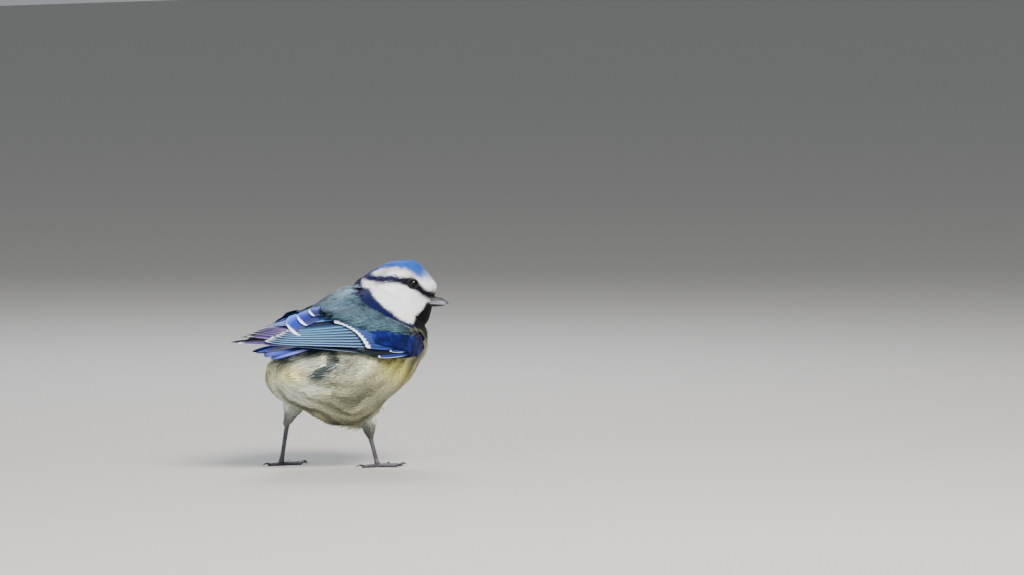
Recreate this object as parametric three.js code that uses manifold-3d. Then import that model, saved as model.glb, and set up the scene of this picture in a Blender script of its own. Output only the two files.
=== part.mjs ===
// Perched blue tit, life size, standing still with its head turned to its right.
// Millimetres, +X forward along the body, +Y to the bird's left, +Z up, soles on z = 0.
import * as THREE from "three";
import { LoftGeometry } from "three/addons/geometries/LoftGeometry.js";
import { mergeVertices } from "three/addons/utils/BufferGeometryUtils.js";
import Module from "manifold-3d";

const wasm = await Module();
wasm.setup();

// Driving dimensions
const gap = 0.3;
const ringPoints = 32;
const headTurn = THREE.MathUtils.degToRad(-50);
const neckX = 20;
const eyeRadius = 1.8;
const eyeAt = { p: 9.3, z: 63.2 };
const eyeStandsOut = 0.85;
const vaneThickness = 0.5;
const tailFeathers = 12;
const tarsusRadius = 0.75;
const toeRadius = 0.72;

// Heights of the body's plumage from belly to nape, with its rear and front ends and half width there.
const bodyOutline = [
  [13.0, 1.4, 2.6, 0.8],
  [13.7, -2.6, 6.2, 5.2],
  [15.7, -7.8, 7.8, 9.4],
  [18.6, -13.0, 11.0, 13.0],
  [22.8, -22.0, 14.4, 16.0],
  [28.7, -28.1, 21.8, 18.4],
  [33.5, -29.2, 27.0, 19.2],
  [37.5, -26.0, 29.8, 19.2],
  [41.0, -17.4, 31.7, 18.8],
  [45.8, -15.2, 32.3, 17.6],
  [50.0, -15.2, 32.4, 15.8],
  [54.0, -13.0, 31.0, 13.8],
  [57.0, -8.6, 28.4, 12.2],
  [59.6, -3.0, 24.4, 10.2],
  [61.4, 3.0, 18.6, 6.4],
  [62.2, 8.4, 12.6, 1.6],
];
// The same for the head, measured forward of the neck's axis in the head's own direction.
const headOutline = [
  [44.0, -1.0, 3.0, 1.0],
  [46.0, -5.2, 8.6, 5.0],
  [49.4, -9.4, 13.0, 8.6],
  [53.8, -12.0, 14.8, 10.8],
  [57.0, -13.0, 15.5, 11.0],
  [59.6, -13.2, 16.2, 10.7],
  [61.6, -12.8, 16.7, 10.2],
  [64.0, -10.8, 15.2, 9.3],
  [66.2, -7.6, 13.2, 8.1],
  [68.4, -3.4, 11.0, 6.1],
  [70.0, 1.0, 8.6, 3.4],
  [70.6, 3.6, 6.6, 0.9],
];
const bodyRings = 28;
const headRings = 22;

// A smooth curve through a table whose first column runs upwards; it gives the other columns.
function smoothTable(rows) {
  const width = rows[0].length - 1;
  const at = new THREE.CubicInterpolant(
    rows.map((row) => row[0]),
    rows.flatMap((row) => row.slice(1)),
    width,
  );
  const first = rows[0][0];
  const last = rows[rows.length - 1][0];
  return (t) => Array.from(at.evaluate(THREE.MathUtils.clamp(t, first, last)));
}

// A solid from one of three's geometries.
function solid(geometry) {
  const bare = new THREE.BufferGeometry();
  bare.setAttribute("position", geometry.getAttribute("position"));
  bare.setIndex(geometry.getIndex());
  const merged = mergeVertices(bare, 1e-4);
  return new wasm.Manifold(
    new wasm.Mesh({
      numProp: 3,
      vertProperties: new Float32Array(merged.attributes.position.array),
      triVerts: new Uint32Array(merged.index.array),
    }),
  );
}

// A closed solid skinned over a row of rings.
function loft(rings) {
  return solid(new LoftGeometry(rings, { closed: true, capStart: true, capEnd: true }));
}

function joined(solids) {
  return solids.reduce((all, one) => all.add(one));
}

// The largest closed surface of a solid.
function largest(whole) {
  const bodies = whole.decompose();
  bodies.sort((a, b) => b.volume() - a.volume());
  return bodies[0];
}

const group = new THREE.Group();

function node(name, shape, colour) {
  const mesh = largest(shape).getMesh();
  const geometry = new THREE.BufferGeometry();
  const stride = mesh.numProp;
  const xyz = [];
  for (let i = 0; i < mesh.vertProperties.length; i += stride) {
    xyz.push(mesh.vertProperties[i], mesh.vertProperties[i + 1], mesh.vertProperties[i + 2]);
  }
  geometry.setAttribute("position", new THREE.Float32BufferAttribute(xyz, 3));
  geometry.setIndex(Array.from(mesh.triVerts));
  geometry.computeVertexNormals();
  const material = new THREE.MeshStandardMaterial({ color: colour, roughness: 0.7 });
  material.name = name;
  const made = new THREE.Mesh(geometry, material);
  made.name = name;
  group.add(made);
}

// A point given in the head's own directions: p forward, q to its left, z up.
function headPoint(p, q, z) {
  const x = neckX + p * Math.cos(headTurn) - q * Math.sin(headTurn);
  const y = p * Math.sin(headTurn) + q * Math.cos(headTurn);
  return new THREE.Vector3(x, y, z);
}

function bodyPoint(x, y, z) {
  return new THREE.Vector3(x, y, z);
}

const bodyAt = smoothTable(bodyOutline);
const headAt = smoothTable(headOutline);

// One point of a level ring of plumage; the taper narrows the ring to the front.
function ringPoint(rowAt, z, t, taper, grow) {
  const [rear, front, half] = rowAt(z);
  const middle = (rear + front) / 2;
  const length = (front - rear) / 2 + grow;
  const width = (half + grow) * (1 - taper * Math.cos(t));
  return [middle + length * Math.cos(t), width * Math.sin(t)];
}

// Level rings bunched at the top and bottom, where the outline closes.
function plumage(rows, rowAt, count, taper, place, grow) {
  const rings = [];
  const low = rows[0][0];
  const high = rows[rows.length - 1][0];
  for (let i = 0; i <= count; i++) {
    const even = i / count;
    const bunched = (1 - Math.cos(Math.PI * even)) / 2;
    const z = THREE.MathUtils.lerp(low, high, THREE.MathUtils.lerp(even, bunched, 0.55));
    const lift = i === 0 ? -grow : i === count ? grow : 0;
    const ring = [];
    for (let k = 0; k < ringPoints; k++) {
      const [along, across] = ringPoint(rowAt, z, (2 * Math.PI * k) / ringPoints, taper, grow);
      ring.push(place(along, across, z + lift));
    }
    rings.push(ring);
  }
  return loft(rings);
}

const headTaper = 0.16;
function wholeBody(grow) {
  const trunk = plumage(bodyOutline, bodyAt, bodyRings, 0, bodyPoint, grow);
  return trunk.add(plumage(headOutline, headAt, headRings, headTaper, headPoint, grow));
}
const body = wholeBody(0);
const bodyGrown = wholeBody(gap);

// Everything above a slanting plane through a point of the neck.
function above(x, z, slope) {
  const box = new THREE.BoxGeometry(300, 300, 300);
  box.translate(0, 0, 150);
  box.rotateY(slope);
  box.rotateZ(headTurn / 2);
  box.translate(x, 0, z);
  return solid(box);
}

const neckSlope = THREE.MathUtils.degToRad(24);
const headCut = above(18, 55.6, neckSlope);
const neckTop = above(18, 55.6 - gap, neckSlope);
const neckFoot = above(16, 52.2, neckSlope);
const torsoTop = above(16, 52.2 - gap, neckSlope);

// Round rings along a path, each with its own radius.
function rod(stops) {
  const points = stops.map(([x, y, z]) => new THREE.Vector3(x, y, z));
  const side = new THREE.Vector3();
  const rings = stops.map(([, , , radius, sides = 8], i) => {
    const before = points[Math.max(i - 1, 0)];
    const after = points[Math.min(i + 1, points.length - 1)];
    const along = after.clone().sub(before).normalize();
    if (i === 0) {
      side.set(0, 0, 1).cross(along);
      if (side.lengthSq() < 0.01) side.set(0, 1, 0);
    }
    side.addScaledVector(along, -side.dot(along)).normalize();
    const up = along.clone().cross(side);
    return Array.from({ length: sides }, (_, k) => {
      const t = (2 * Math.PI * k) / sides;
      const ring = points[i].clone().addScaledVector(side, radius * Math.cos(t));
      return ring.addScaledVector(up, radius * Math.sin(t));
    });
  });
  return loft(rings);
}

// Bill
const upperBill = [
  [12.4, 56.5, 58.9, 2.5],
  [15.6, 56.4, 58.6, 2.0],
  [17.7, 56.3, 58.1, 1.35],
  [19.4, 56.2, 57.3, 0.75],
  [20.4, 56.0, 56.4, 0.2],
];
const lowerBill = [
  [12.4, 54.7, 56.1, 2.3],
  [15.6, 54.8, 56.05, 1.75],
  [17.7, 55.05, 55.95, 1.1],
  [19.3, 55.4, 55.85, 0.55],
  [19.9, 55.5, 55.75, 0.2],
];

// Each half of the bill is nearly flat where the halves meet and rounded on the outside.
const billSag = 0.06;
function billHalf(rows, outward, grow) {
  const rings = rows.map(([p, low, high, half]) =>
    Array.from({ length: 12 }, (_, k) => {
      const t = (2 * Math.PI * k) / 12;
      const rise = Math.sin(t) * outward;
      const flat = outward > 0 ? low : high;
      const tall = high - low + grow;
      const z = flat + outward * (rise > 0 ? tall * rise : billSag * rise - grow);
      return headPoint(p, (half + grow) * Math.cos(t), z);
    }),
  );
  return loft(rings);
}

// Eyes sit in sockets and are rimmed by lids.
function skinWidth(p, z) {
  const [rear, front] = headAt(z);
  const cosine = (p - (rear + front) / 2) / ((front - rear) / 2);
  return ringPoint(headAt, z, Math.acos(THREE.MathUtils.clamp(cosine, -1, 1)), headTaper, 0)[1];
}

function ball(radius, centre, columns, rows) {
  const sphere = new THREE.SphereGeometry(radius, columns, rows);
  sphere.translate(centre.x, centre.y, centre.z);
  return solid(sphere);
}

function eyeCentre(side) {
  const depth = skinWidth(eyeAt.p, eyeAt.z) + eyeStandsOut - eyeRadius;
  return { point: headPoint(eyeAt.p, side * depth, eyeAt.z), depth };
}

// A lid ring lies flat against the cheek around the eye.
function lidRing(side) {
  const { depth } = eyeCentre(side);
  const ring = new THREE.TorusGeometry(eyeRadius + 0.1, 0.5, 6, 20);
  ring.rotateX(Math.PI / 2);
  ring.rotateZ(side * -0.28);
  const centre = new THREE.Vector3(eyeAt.p + 0.1, side * (depth + 0.75), eyeAt.z);
  ring.translate(centre.x + neckX, centre.y, centre.z);
  ring.translate(-neckX, 0, 0);
  ring.rotateZ(headTurn);
  ring.translate(neckX, 0, 0);
  return solid(ring);
}

// A nostril opens low on each side of the upper half, near its base.
const nostril = { p: 15.1, z: 57.75, out: 1.95, long: 0.55, tall: 0.3 };
function nostrilPit(side) {
  const pit = new THREE.SphereGeometry(1, 12, 8);
  pit.scale(nostril.long, 0.5, nostril.tall);
  pit.rotateZ(headTurn);
  const { x, y, z } = headPoint(nostril.p, side * nostril.out, nostril.z);
  pit.translate(x, y, z);
  return solid(pit);
}

const upper = billHalf(upperBill, 1, 0).subtract(nostrilPit(-1)).subtract(nostrilPit(1));
const lower = billHalf(lowerBill, -1, 0);
const billRoom = joined([billHalf(upperBill, 1, gap), billHalf(lowerBill, -1, gap)]);
const headFront = body.intersect(headCut);
let head = joined([headFront, lidRing(-1), lidRing(1)]).subtract(billRoom);
for (const side of [-1, 1]) {
  head = head.subtract(ball(eyeRadius + gap, eyeCentre(side).point, 16, 10));
}
node("head", head, 0xdfe6f4);
node("neck", body.intersect(neckFoot).subtract(neckTop), 0x7a8fa0);
node("bill_upper", upper, 0x4a4f5c);
node("bill_lower", lower, 0x555a66);
node("eye_right", ball(eyeRadius, eyeCentre(-1).point, 16, 10), 0x14100e);
node("eye_left", ball(eyeRadius, eyeCentre(1).point, 16, 10), 0x14100e);

// Wings: each lies on a shell whose upright section is a quarter of an ellipse.
// Columns: x, half width of the shell, height of its widest level, height of its ridge.
const wingShell = smoothTable([
  [-50, 2.4, 45.0, 46.2],
  [-38, 5.0, 44.6, 48.6],
  [-30, 7.6, 43.8, 51.0],
  [-20, 12.2, 41.6, 54.6],
  [-9, 17.2, 40.0, 58.2],
  [4, 19.9, 39.6, 61.6],
  [15, 18.0, 40.4, 63.5],
  [23, 13.6, 41.8, 64.5],
]);

function shellPoint(x, z, lift) {
  const [half, widest, ridge] = wingShell(x);
  const rise = THREE.MathUtils.clamp((z - widest) / (ridge - widest), -0.4, 0.985);
  const slope = Math.asin(rise);
  const out = new THREE.Vector3(0, Math.cos(slope), Math.sin(slope));
  const y = (half + lift) * Math.cos(slope);
  const across = new THREE.Vector3(0, -half * Math.sin(slope), (ridge - widest) * Math.cos(slope));
  return { at: new THREE.Vector3(x, y, z + lift * Math.sin(slope)), out, across: across.normalize() };
}

// A vane is a thin tapered blade: four corners at each stop, split into triangles alike above and below.
function vane(stops) {
  const xyz = [];
  stops.forEach(({ low, high, out, thick }) => {
    const half = out.clone().multiplyScalar(thick / 2);
    for (const corner of [low.clone().add(half), high.clone().add(half)]) xyz.push(...corner.toArray());
    for (const corner of [low.clone().sub(half), high.clone().sub(half)]) xyz.push(...corner.toArray());
  });
  const faces = [];
  const quad = (a, b, c, d) => faces.push(a, b, c, a, c, d);
  for (let i = 0; i + 1 < stops.length; i++) {
    const j = 4 * i;
    const k = j + 4;
    faces.push(j, k, k + 1, j, k + 1, j + 1);
    faces.push(j + 2, k + 3, k + 2, j + 2, j + 3, k + 3);
    quad(j + 2, k + 2, k, j);
    quad(j + 1, k + 1, k + 3, j + 3);
  }
  const end = 4 * (stops.length - 1);
  quad(0, 1, 3, 2);
  quad(end + 2, end + 3, end + 1, end);
  const blade = new THREE.BufferGeometry();
  blade.setAttribute("position", new THREE.Float32BufferAttribute(xyz, 3));
  blade.setIndex(faces);
  const made = solid(blade);
  if (made.volume() > 0) return made;
  blade.setIndex(faces.toReversed());
  return solid(blade);
}

// Width along a feather as a share of its widest, from root to tip.
const vaneShape = smoothTable([
  [0, 0.62],
  [0.3, 0.95],
  [0.65, 1],
  [0.88, 0.78],
  [1, 0.16],
]);

// A wing feather from its root to its tip on the shell; its lower edge stands out over the next one,
// by a share of the half width that runs from the first to the last of slopes.
function wingFeather(root, tip, width, slopes, stations) {
  const stops = [];
  for (let i = 0; i <= stations; i++) {
    const t = 1 - (1 - i / stations) ** 1.35;
    const x = THREE.MathUtils.lerp(root.x, tip.x, t);
    const z = THREE.MathUtils.lerp(root.z, tip.z, t);
    const lift = THREE.MathUtils.lerp(root.lift, tip.lift, t);
    const { at, out, across } = shellPoint(x, z, lift);
    const half = (width * vaneShape(t)[0]) / 2;
    const stand = THREE.MathUtils.lerp(slopes[0], slopes[1], t) * half;
    const low = at.clone().addScaledVector(across, -half).addScaledVector(out, stand);
    const high = at.clone().addScaledVector(across, half).addScaledVector(out, -stand);
    const thick = vaneThickness * (t > 0.97 ? 0.5 : 1);
    stops.push({ low, high, out, thick });
  }
  return vane(stops);
}

// A row of feathers whose roots and tips step evenly from the first to the last.
function wingRow(count, first, last, width, slopes, stations) {
  return Array.from({ length: count }, (_, i) => {
    const t = i / (count - 1);
    const step = (a, b) => ({
      x: THREE.MathUtils.lerp(a.x, b.x, t),
      z: THREE.MathUtils.lerp(a.z, b.z, t),
      lift: THREE.MathUtils.lerp(a.lift, b.lift, t),
    });
    return wingFeather(step(first.root, last.root), step(first.tip, last.tip), width, slopes, stations);
  });
}

// The feathered arm, which holds the roots of all the wing's feathers.
const armEdge = smoothTable([
  [-13, 47.5, 54.5],
  [-6, 43.0, 54.8],
  [2, 39.8, 53.6],
  [10, 38.6, 50.6],
  [17, 38.9, 47.6],
  [21, 40.2, 45.4],
  [22.4, 41.6, 43.8],
]);
function wingArm() {
  const rings = [];
  const along = 9;
  const across = 6;
  for (let i = 0; i <= along; i++) {
    const x = THREE.MathUtils.lerp(-13, 22.4, Math.sin((Math.PI / 2) * (i / along)));
    const [low, high] = armEdge(x);
    const thin = 1.9 * Math.min(1, (22.9 - x) / 4) * Math.min(1, (x + 14.5) / 6);
    const outer = [];
    const inner = [];
    for (let k = 0; k <= across; k++) {
      const z = THREE.MathUtils.lerp(low, high, k / across);
      const swell = Math.sin((Math.PI * (k + 0.8)) / (across + 1.6));
      outer.push(shellPoint(x, z, 0.4 + thin * swell * 0.7).at);
      inner.push(shellPoint(x, z, 0.2 - thin * swell * 0.7).at);
    }
    rings.push([...outer, ...inner.reverse()]);
  }
  return loft(rings);
}

function wingSolids() {
  const primaries = wingRow(
    5,
    { root: { x: 8, z: 39.9, lift: 0.1 }, tip: { x: -47.2, z: 44.9, lift: -1.3 } },
    { root: { x: 4, z: 42.4, lift: 0.3 }, tip: { x: -34, z: 48.4, lift: -1.0 } },
    1.6,
    [1.1, 1.3],
    5,
  );
  const secondaries = wingRow(
    5,
    { root: { x: 2, z: 43.8, lift: 1.6 }, tip: { x: -30.5, z: 43.9, lift: 2.5 } },
    { root: { x: -4, z: 48.8, lift: 1.3 }, tip: { x: -29.5, z: 47.9, lift: 2.4 } },
    2.6,
    [0.4, 1.2],
    5,
  );
  const tertials = wingRow(
    3,
    { root: { x: -8, z: 50.2, lift: 1.3 }, tip: { x: -31, z: 49.2, lift: 2.3 } },
    { root: { x: -6, z: 52.8, lift: 1.0 }, tip: { x: -20.6, z: 52.8, lift: 2.0 } },
    3.8,
    [0.4, 0.75],
    5,
  );
  const coverts = wingRow(
    8,
    { root: { x: 8, z: 42.8, lift: 1.3 }, tip: { x: -4.2, z: 43.2, lift: 2.9 } },
    { root: { x: -3, z: 51.8, lift: 1.2 }, tip: { x: -14.5, z: 51.4, lift: 2.7 } },
    2.2,
    [0.9, 1.4],
    3,
  );
  const handCoverts = wingRow(
    4,
    { root: { x: 16, z: 39.9, lift: 0.6 }, tip: { x: -6, z: 39.4, lift: 0.7 } },
    { root: { x: 15, z: 42.3, lift: 1.1 }, tip: { x: -1, z: 42.0, lift: 1.9 } },
    1.7,
    [0.8, 0.9],
    3,
  );
  return [wingArm(), ...primaries, ...secondaries, ...tertials, ...coverts, ...handCoverts];
}

const leftWing = joined(wingSolids());
const rightWing = leftWing.mirror([0, 1, 0]);
const midline = solid(new THREE.BoxGeometry(200, 2 * gap, 200));
node("wing_left", largest(leftWing.subtract(midline)).subtract(bodyGrown), 0x4a68b8);
node("wing_right", largest(rightWing.subtract(midline)).subtract(bodyGrown), 0x4a68b8);

// Tail: the middle pair lies on top and each next pair a little lower and further out.
const tailRoot = new THREE.Vector3(-10, -0.5, 42.3);
const tailSwing = THREE.MathUtils.degToRad(10);
const tailRoll = THREE.MathUtils.degToRad(-12);
const tailLength = 31.5;
function tailPoint(along, across, rise) {
  const y = across * Math.cos(tailRoll) - rise * Math.sin(tailRoll);
  const z = across * Math.sin(tailRoll) + rise * Math.cos(tailRoll);
  return new THREE.Vector3(
    tailRoot.x - along * Math.cos(tailSwing) + y * Math.sin(tailSwing),
    tailRoot.y - along * Math.sin(tailSwing) - y * Math.cos(tailSwing),
    tailRoot.z + z,
  );
}
function tailFeather(index) {
  const side = index % 2 ? 1 : -1;
  const rank = Math.floor(index / 2);
  const stops = [];
  for (let i = 0; i <= 5; i++) {
    const t = i / 5;
    const along = tailLength * t * (1 - 0.012 * rank);
    const inner = rank === 0 ? 0.9 : 2.45 * Math.min(1, 0.5 + 1.7 * t) + (rank - 1) * (0.3 + 0.9 * t);
    const middle = side * inner;
    const rise = rank === 0 ? -side * 0.42 : -0.42 - rank * 0.9;
    const half = 2.2 * vaneShape(t)[0];
    const out = new THREE.Vector3(0, 0, 1);
    stops.push({
      low: tailPoint(along, middle - half, rise),
      high: tailPoint(along, middle + half, rise),
      out,
      thick: vaneThickness * (i === 5 ? 0.5 : 1),
    });
  }
  return vane(stops);
}
const tailVanes = Array.from({ length: tailFeathers }, (_, i) => tailFeather(i));
const tailCoverts = [
  [-2, 4.6, -5.2, 1.6],
  [4, 4.8, -5.4, 2.2],
  [8, 4.2, -5.0, 1.7],
  [11.5, 3.0, -4.4, 0.9],
].map(([along, half, low, high]) =>
  Array.from({ length: 12 }, (_, k) => {
    const t = (2 * Math.PI * k) / 12;
    const rise = (low + high) / 2 + ((high - low) / 2) * Math.sin(t);
    return tailPoint(along, half * Math.cos(t), rise);
  }),
);
const tail = joined([loft(tailCoverts), ...tailVanes]);
node("tail", largest(tail.subtract(bodyGrown)), 0x5068c4);

// Legs: feathered shank, scaly tarsus with three toes forward and one back, flat soles.
function footToe(heel, yaw, length, joints, reach) {
  const stops = [[heel.x, heel.y, 0.62, toeRadius]];
  for (let i = 1; i <= joints; i++) {
    const t = i / joints;
    const bump = i % 2 ? 0.86 : 1.06;
    const along = length * t;
    stops.push([
      heel.x + along * Math.cos(yaw),
      heel.y + along * Math.sin(yaw),
      0.62 - 0.06 * t,
      toeRadius * bump * (1 - 0.2 * t),
    ]);
  }
  for (const [step, z, radius] of [
    [0.9, 0.95, 0.42],
    [1.8, 0.8, 0.3],
    [reach, 0.3, 0.16],
  ]) {
    const along = length + step;
    stops.push([heel.x + along * Math.cos(yaw), heel.y + along * Math.sin(yaw), z, radius]);
  }
  return rod(stops);
}

const floorBox = new THREE.BoxGeometry(200, 200, 40);
floorBox.translate(0, 0, -20);
const floor = solid(floorBox);

const legs = {
  right: { hip: [5.4, -6.5, 22], knee: [4.4, -7.4, 17], ankle: [5.0, -8.0, 10.6], foot: [5.8, -11.0, 1.3], yaw: -0.1 },
  left: { hip: [-13.5, 7.0, 27.5], knee: [-15.6, 8.6, 21.5], ankle: [-17.2, 10.4, 15.0], foot: [-16.0, 15.5, 1.3], yaw: 0.1 },
};
for (const [side, leg] of Object.entries(legs)) {
  const [fx, fy, fz] = leg.foot;
  const heel = { x: fx, y: fy };
  const [ax, ay, az] = leg.ankle;
  const tarsus = rod([
    [ax, ay, az, tarsusRadius * 1.25],
    [ax * 0.85 + fx * 0.15, ay * 0.85 + fy * 0.15, az * 0.85 + fz * 0.15, tarsusRadius],
    [ax * 0.2 + fx * 0.8, ay * 0.2 + fy * 0.8, az * 0.2 + fz * 0.8, tarsusRadius * 0.92],
    [fx, fy, fz, tarsusRadius * 1.35],
    [fx, fy, -0.4, tarsusRadius * 1.3],
  ]);
  const toes = [
    footToe(heel, leg.yaw, 9.5, 5, 2.7),
    footToe(heel, leg.yaw + 0.55, 7.5, 4, 2.5),
    footToe(heel, leg.yaw - 0.5, 7.0, 4, 2.5),
    footToe(heel, leg.yaw + Math.PI, 5.8, 3, 3.0),
  ];
  node("leg_" + side, joined([tarsus, ...toes]).subtract(floor), 0x5a5a6c);
  const shank = rod([
    [...leg.hip, 4.2, 14],
    [...leg.knee, 3.3, 14],
    [leg.knee[0] * 0.4 + ax * 0.6, leg.knee[1] * 0.4 + ay * 0.6, leg.knee[2] * 0.4 + az * 0.6, 1.9, 14],
    [ax, ay, az + 0.75, 1.15, 14],
  ]);
  const shankRoom = rod([
    [...leg.hip, 4.5, 14],
    [...leg.knee, 3.6, 14],
    [leg.knee[0] * 0.4 + ax * 0.6, leg.knee[1] * 0.4 + ay * 0.6, leg.knee[2] * 0.4 + az * 0.6, 2.2, 14],
  ]);
  leg.room = shankRoom;
  leg.shank = shank;
}
let torso = body.subtract(torsoTop);
for (const [side, leg] of Object.entries(legs)) {
  torso = torso.subtract(leg.room);
  const [ax, ay, az] = leg.ankle;
  const ankleRoom = ball(tarsusRadius * 1.25 + gap + 0.2, new THREE.Vector3(ax, ay, az), 10, 8);
  node("shank_" + side, leg.shank.subtract(ankleRoom), 0xd8d8c4);
}
node("torso", torso, 0xcfcf9c);

// The origin sits on the floor under the middle of the part's box.
const box = new THREE.Box3().setFromObject(group);
const middle = box.getCenter(new THREE.Vector3());
group.children.forEach((mesh) => mesh.geometry.translate(-middle.x, -middle.y, -box.min.z));
export default group;
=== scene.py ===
import math

import bpy
import numpy as np
from mathutils import Matrix, Vector


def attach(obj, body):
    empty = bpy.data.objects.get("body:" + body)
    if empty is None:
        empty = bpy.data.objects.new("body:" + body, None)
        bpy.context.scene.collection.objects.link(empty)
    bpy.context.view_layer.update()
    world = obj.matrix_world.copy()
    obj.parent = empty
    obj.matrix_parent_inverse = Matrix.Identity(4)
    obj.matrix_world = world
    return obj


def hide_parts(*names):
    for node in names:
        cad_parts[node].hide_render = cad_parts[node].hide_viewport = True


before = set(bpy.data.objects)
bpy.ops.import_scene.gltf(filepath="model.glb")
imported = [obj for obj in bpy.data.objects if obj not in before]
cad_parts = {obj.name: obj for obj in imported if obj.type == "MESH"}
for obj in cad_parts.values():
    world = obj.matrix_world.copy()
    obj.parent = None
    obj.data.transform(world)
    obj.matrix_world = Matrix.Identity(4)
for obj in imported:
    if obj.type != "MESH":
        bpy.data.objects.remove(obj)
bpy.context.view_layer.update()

# Camera: a long lens at the bird's right rear quarter, a little above its back, as in the photograph.
# Lengths in this file are the real bird's millimetres unless a name says otherwise.
MM = 0.001
# The body's own origin lies this far ahead of the middle of the part's box.
BODY_SHIFT = 6.967
VIEW_TURN = math.radians(37)
VIEW_RISE = math.radians(4)
LENS_MM = 400
SENSOR_MM = 36
PIXELS_PER_MM = 2.88
FRAME_WIDTH_MM = 1024 / PIXELS_PER_MM
AIM_RIGHT_MM = 57.99
AIM_UP_MM = 61.98


def row_point(x, y, z):
    """A point of the bird's body, in mm, as a point of the row frame in metres."""
    return Vector(((x + BODY_SHIFT) * MM, y * MM, z * MM))


view_right = Vector((math.cos(VIEW_TURN), -math.sin(VIEW_TURN), 0))
view_level = Vector((math.sin(VIEW_TURN), math.cos(VIEW_TURN), 0))
view_along = view_level * math.cos(VIEW_RISE) - Vector((0, 0, math.sin(VIEW_RISE)))
view_up = view_right.cross(view_along)
aim = row_point(0, 0, 0) + (view_right * AIM_RIGHT_MM + view_up * AIM_UP_MM) * MM
camera_data = bpy.data.cameras.new("camera")
camera_data.lens = LENS_MM
camera_data.sensor_width = SENSOR_MM
camera_data.clip_end = 20
camera = bpy.data.objects.new("camera", camera_data)
bpy.context.scene.collection.objects.link(camera)
distance = FRAME_WIDTH_MM * LENS_MM / SENSOR_MM * MM
turn = Matrix((view_right, view_up, -view_along)).transposed()
camera.matrix_world = Matrix.Translation(aim - view_along * distance) @ turn.to_4x4()
bpy.context.scene.camera = camera

# Stage: a pale matte floor, and three soft lamps: a large one over the bird's right side, a cool one
# behind it, and a small one on the far side that draws a thin light along the back and the crown.


def linear(hexa):
    """An sRGB hex colour as linear red, green, blue and alpha."""
    out = []
    for i in (0, 2, 4):
        value = int(hexa[i:i + 2], 16) / 255
        out.append(value / 12.92 if value <= 0.04045 else ((value + 0.055) / 1.055) ** 2.4)
    return (*out, 1.0)


def hue(hexa):
    """An sRGB hex colour as a linear array of red, green and blue."""
    return np.array(linear(hexa)[:3])


def add_node(tree, kind, settings=None, inputs=None):
    """Adds a node; an input given as a socket is linked, any other is set as its value."""
    made = tree.nodes.new(kind)
    for name, value in (settings or {}).items():
        setattr(made, name, value)
    for name, value in (inputs or {}).items():
        socket = made.inputs[name]
        if isinstance(value, bpy.types.NodeSocket):
            tree.links.new(value, socket)
        else:
            socket.default_value = value
    return made


def material(name, colour, roughness, **inputs):
    """A Principled material of one colour, and its shader node for more links."""
    made = bpy.data.materials.new(name)
    made.use_nodes = True
    shader = made.node_tree.nodes["Principled BSDF"]
    shader.inputs["Base Color"].default_value = linear(colour)
    shader.inputs["Roughness"].default_value = roughness
    for key, value in inputs.items():
        shader.inputs[key.replace("_", " ")].default_value = value
    return made, shader


def mesh_object(name, points_mm, faces, shade_smooth=True):
    """An object whose mesh is given in body millimetres."""
    points = (np.asarray(points_mm, float) + (BODY_SHIFT, 0, 0)) * MM
    mesh = bpy.data.meshes.new(name)
    mesh.from_pydata(points.tolist(), [], faces)
    mesh.validate()
    mesh.polygons.foreach_set("use_smooth", [shade_smooth] * len(mesh.polygons))
    mesh.update()
    made = bpy.data.objects.new(name, mesh)
    bpy.context.scene.collection.objects.link(made)
    return made


HALF_FLOOR_MM = 3000
floor_corners = [(x * HALF_FLOOR_MM, y * HALF_FLOOR_MM, 0) for x, y in ((-1, -1), (1, -1), (1, 1), (-1, 1))]
floor = mesh_object("floor", floor_corners, [(0, 1, 2, 3)], False)
# Flat wall paint rolled on a board: an even pale grey with no shine, so that the shadow reads softly.
floor.data.materials.append(material("pale_floor_paint", "A9A7A3", 0.9)[0])


def lamp(name, place_mm, aim_mm, size_mm, watts, colour):
    """A round soft lamp at a place, turned towards its aim."""
    data = bpy.data.lights.new(name, "AREA")
    data.shape = "DISK"
    data.size = size_mm * MM
    data.energy = watts
    data.color = linear(colour)[:3]
    made = bpy.data.objects.new(name, data)
    bpy.context.scene.collection.objects.link(made)
    place = row_point(*place_mm)
    made.location = place
    made.rotation_euler = (row_point(*aim_mm) - place).to_track_quat("-Z", "Y").to_euler()


lamp("key_lamp", (-40, -520, 640), (0, 0, 40), 380, 14.0, "FFF9F0")
lamp("fill_lamp", (-620, -300, 240), (0, 0, 40), 520, 3.4, "EDF2FF")
lamp("rim_lamp", (300, 420, 520), (0, 0, 45), 300, 4.5, "F2F5FF")
world = bpy.data.worlds.new("soft_room")
bpy.context.scene.world = world
world.use_nodes = True
world.node_tree.nodes["Background"].inputs["Color"].default_value = linear("C3C8CC")
world.node_tree.nodes["Background"].inputs["Strength"].default_value = 0.6

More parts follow.
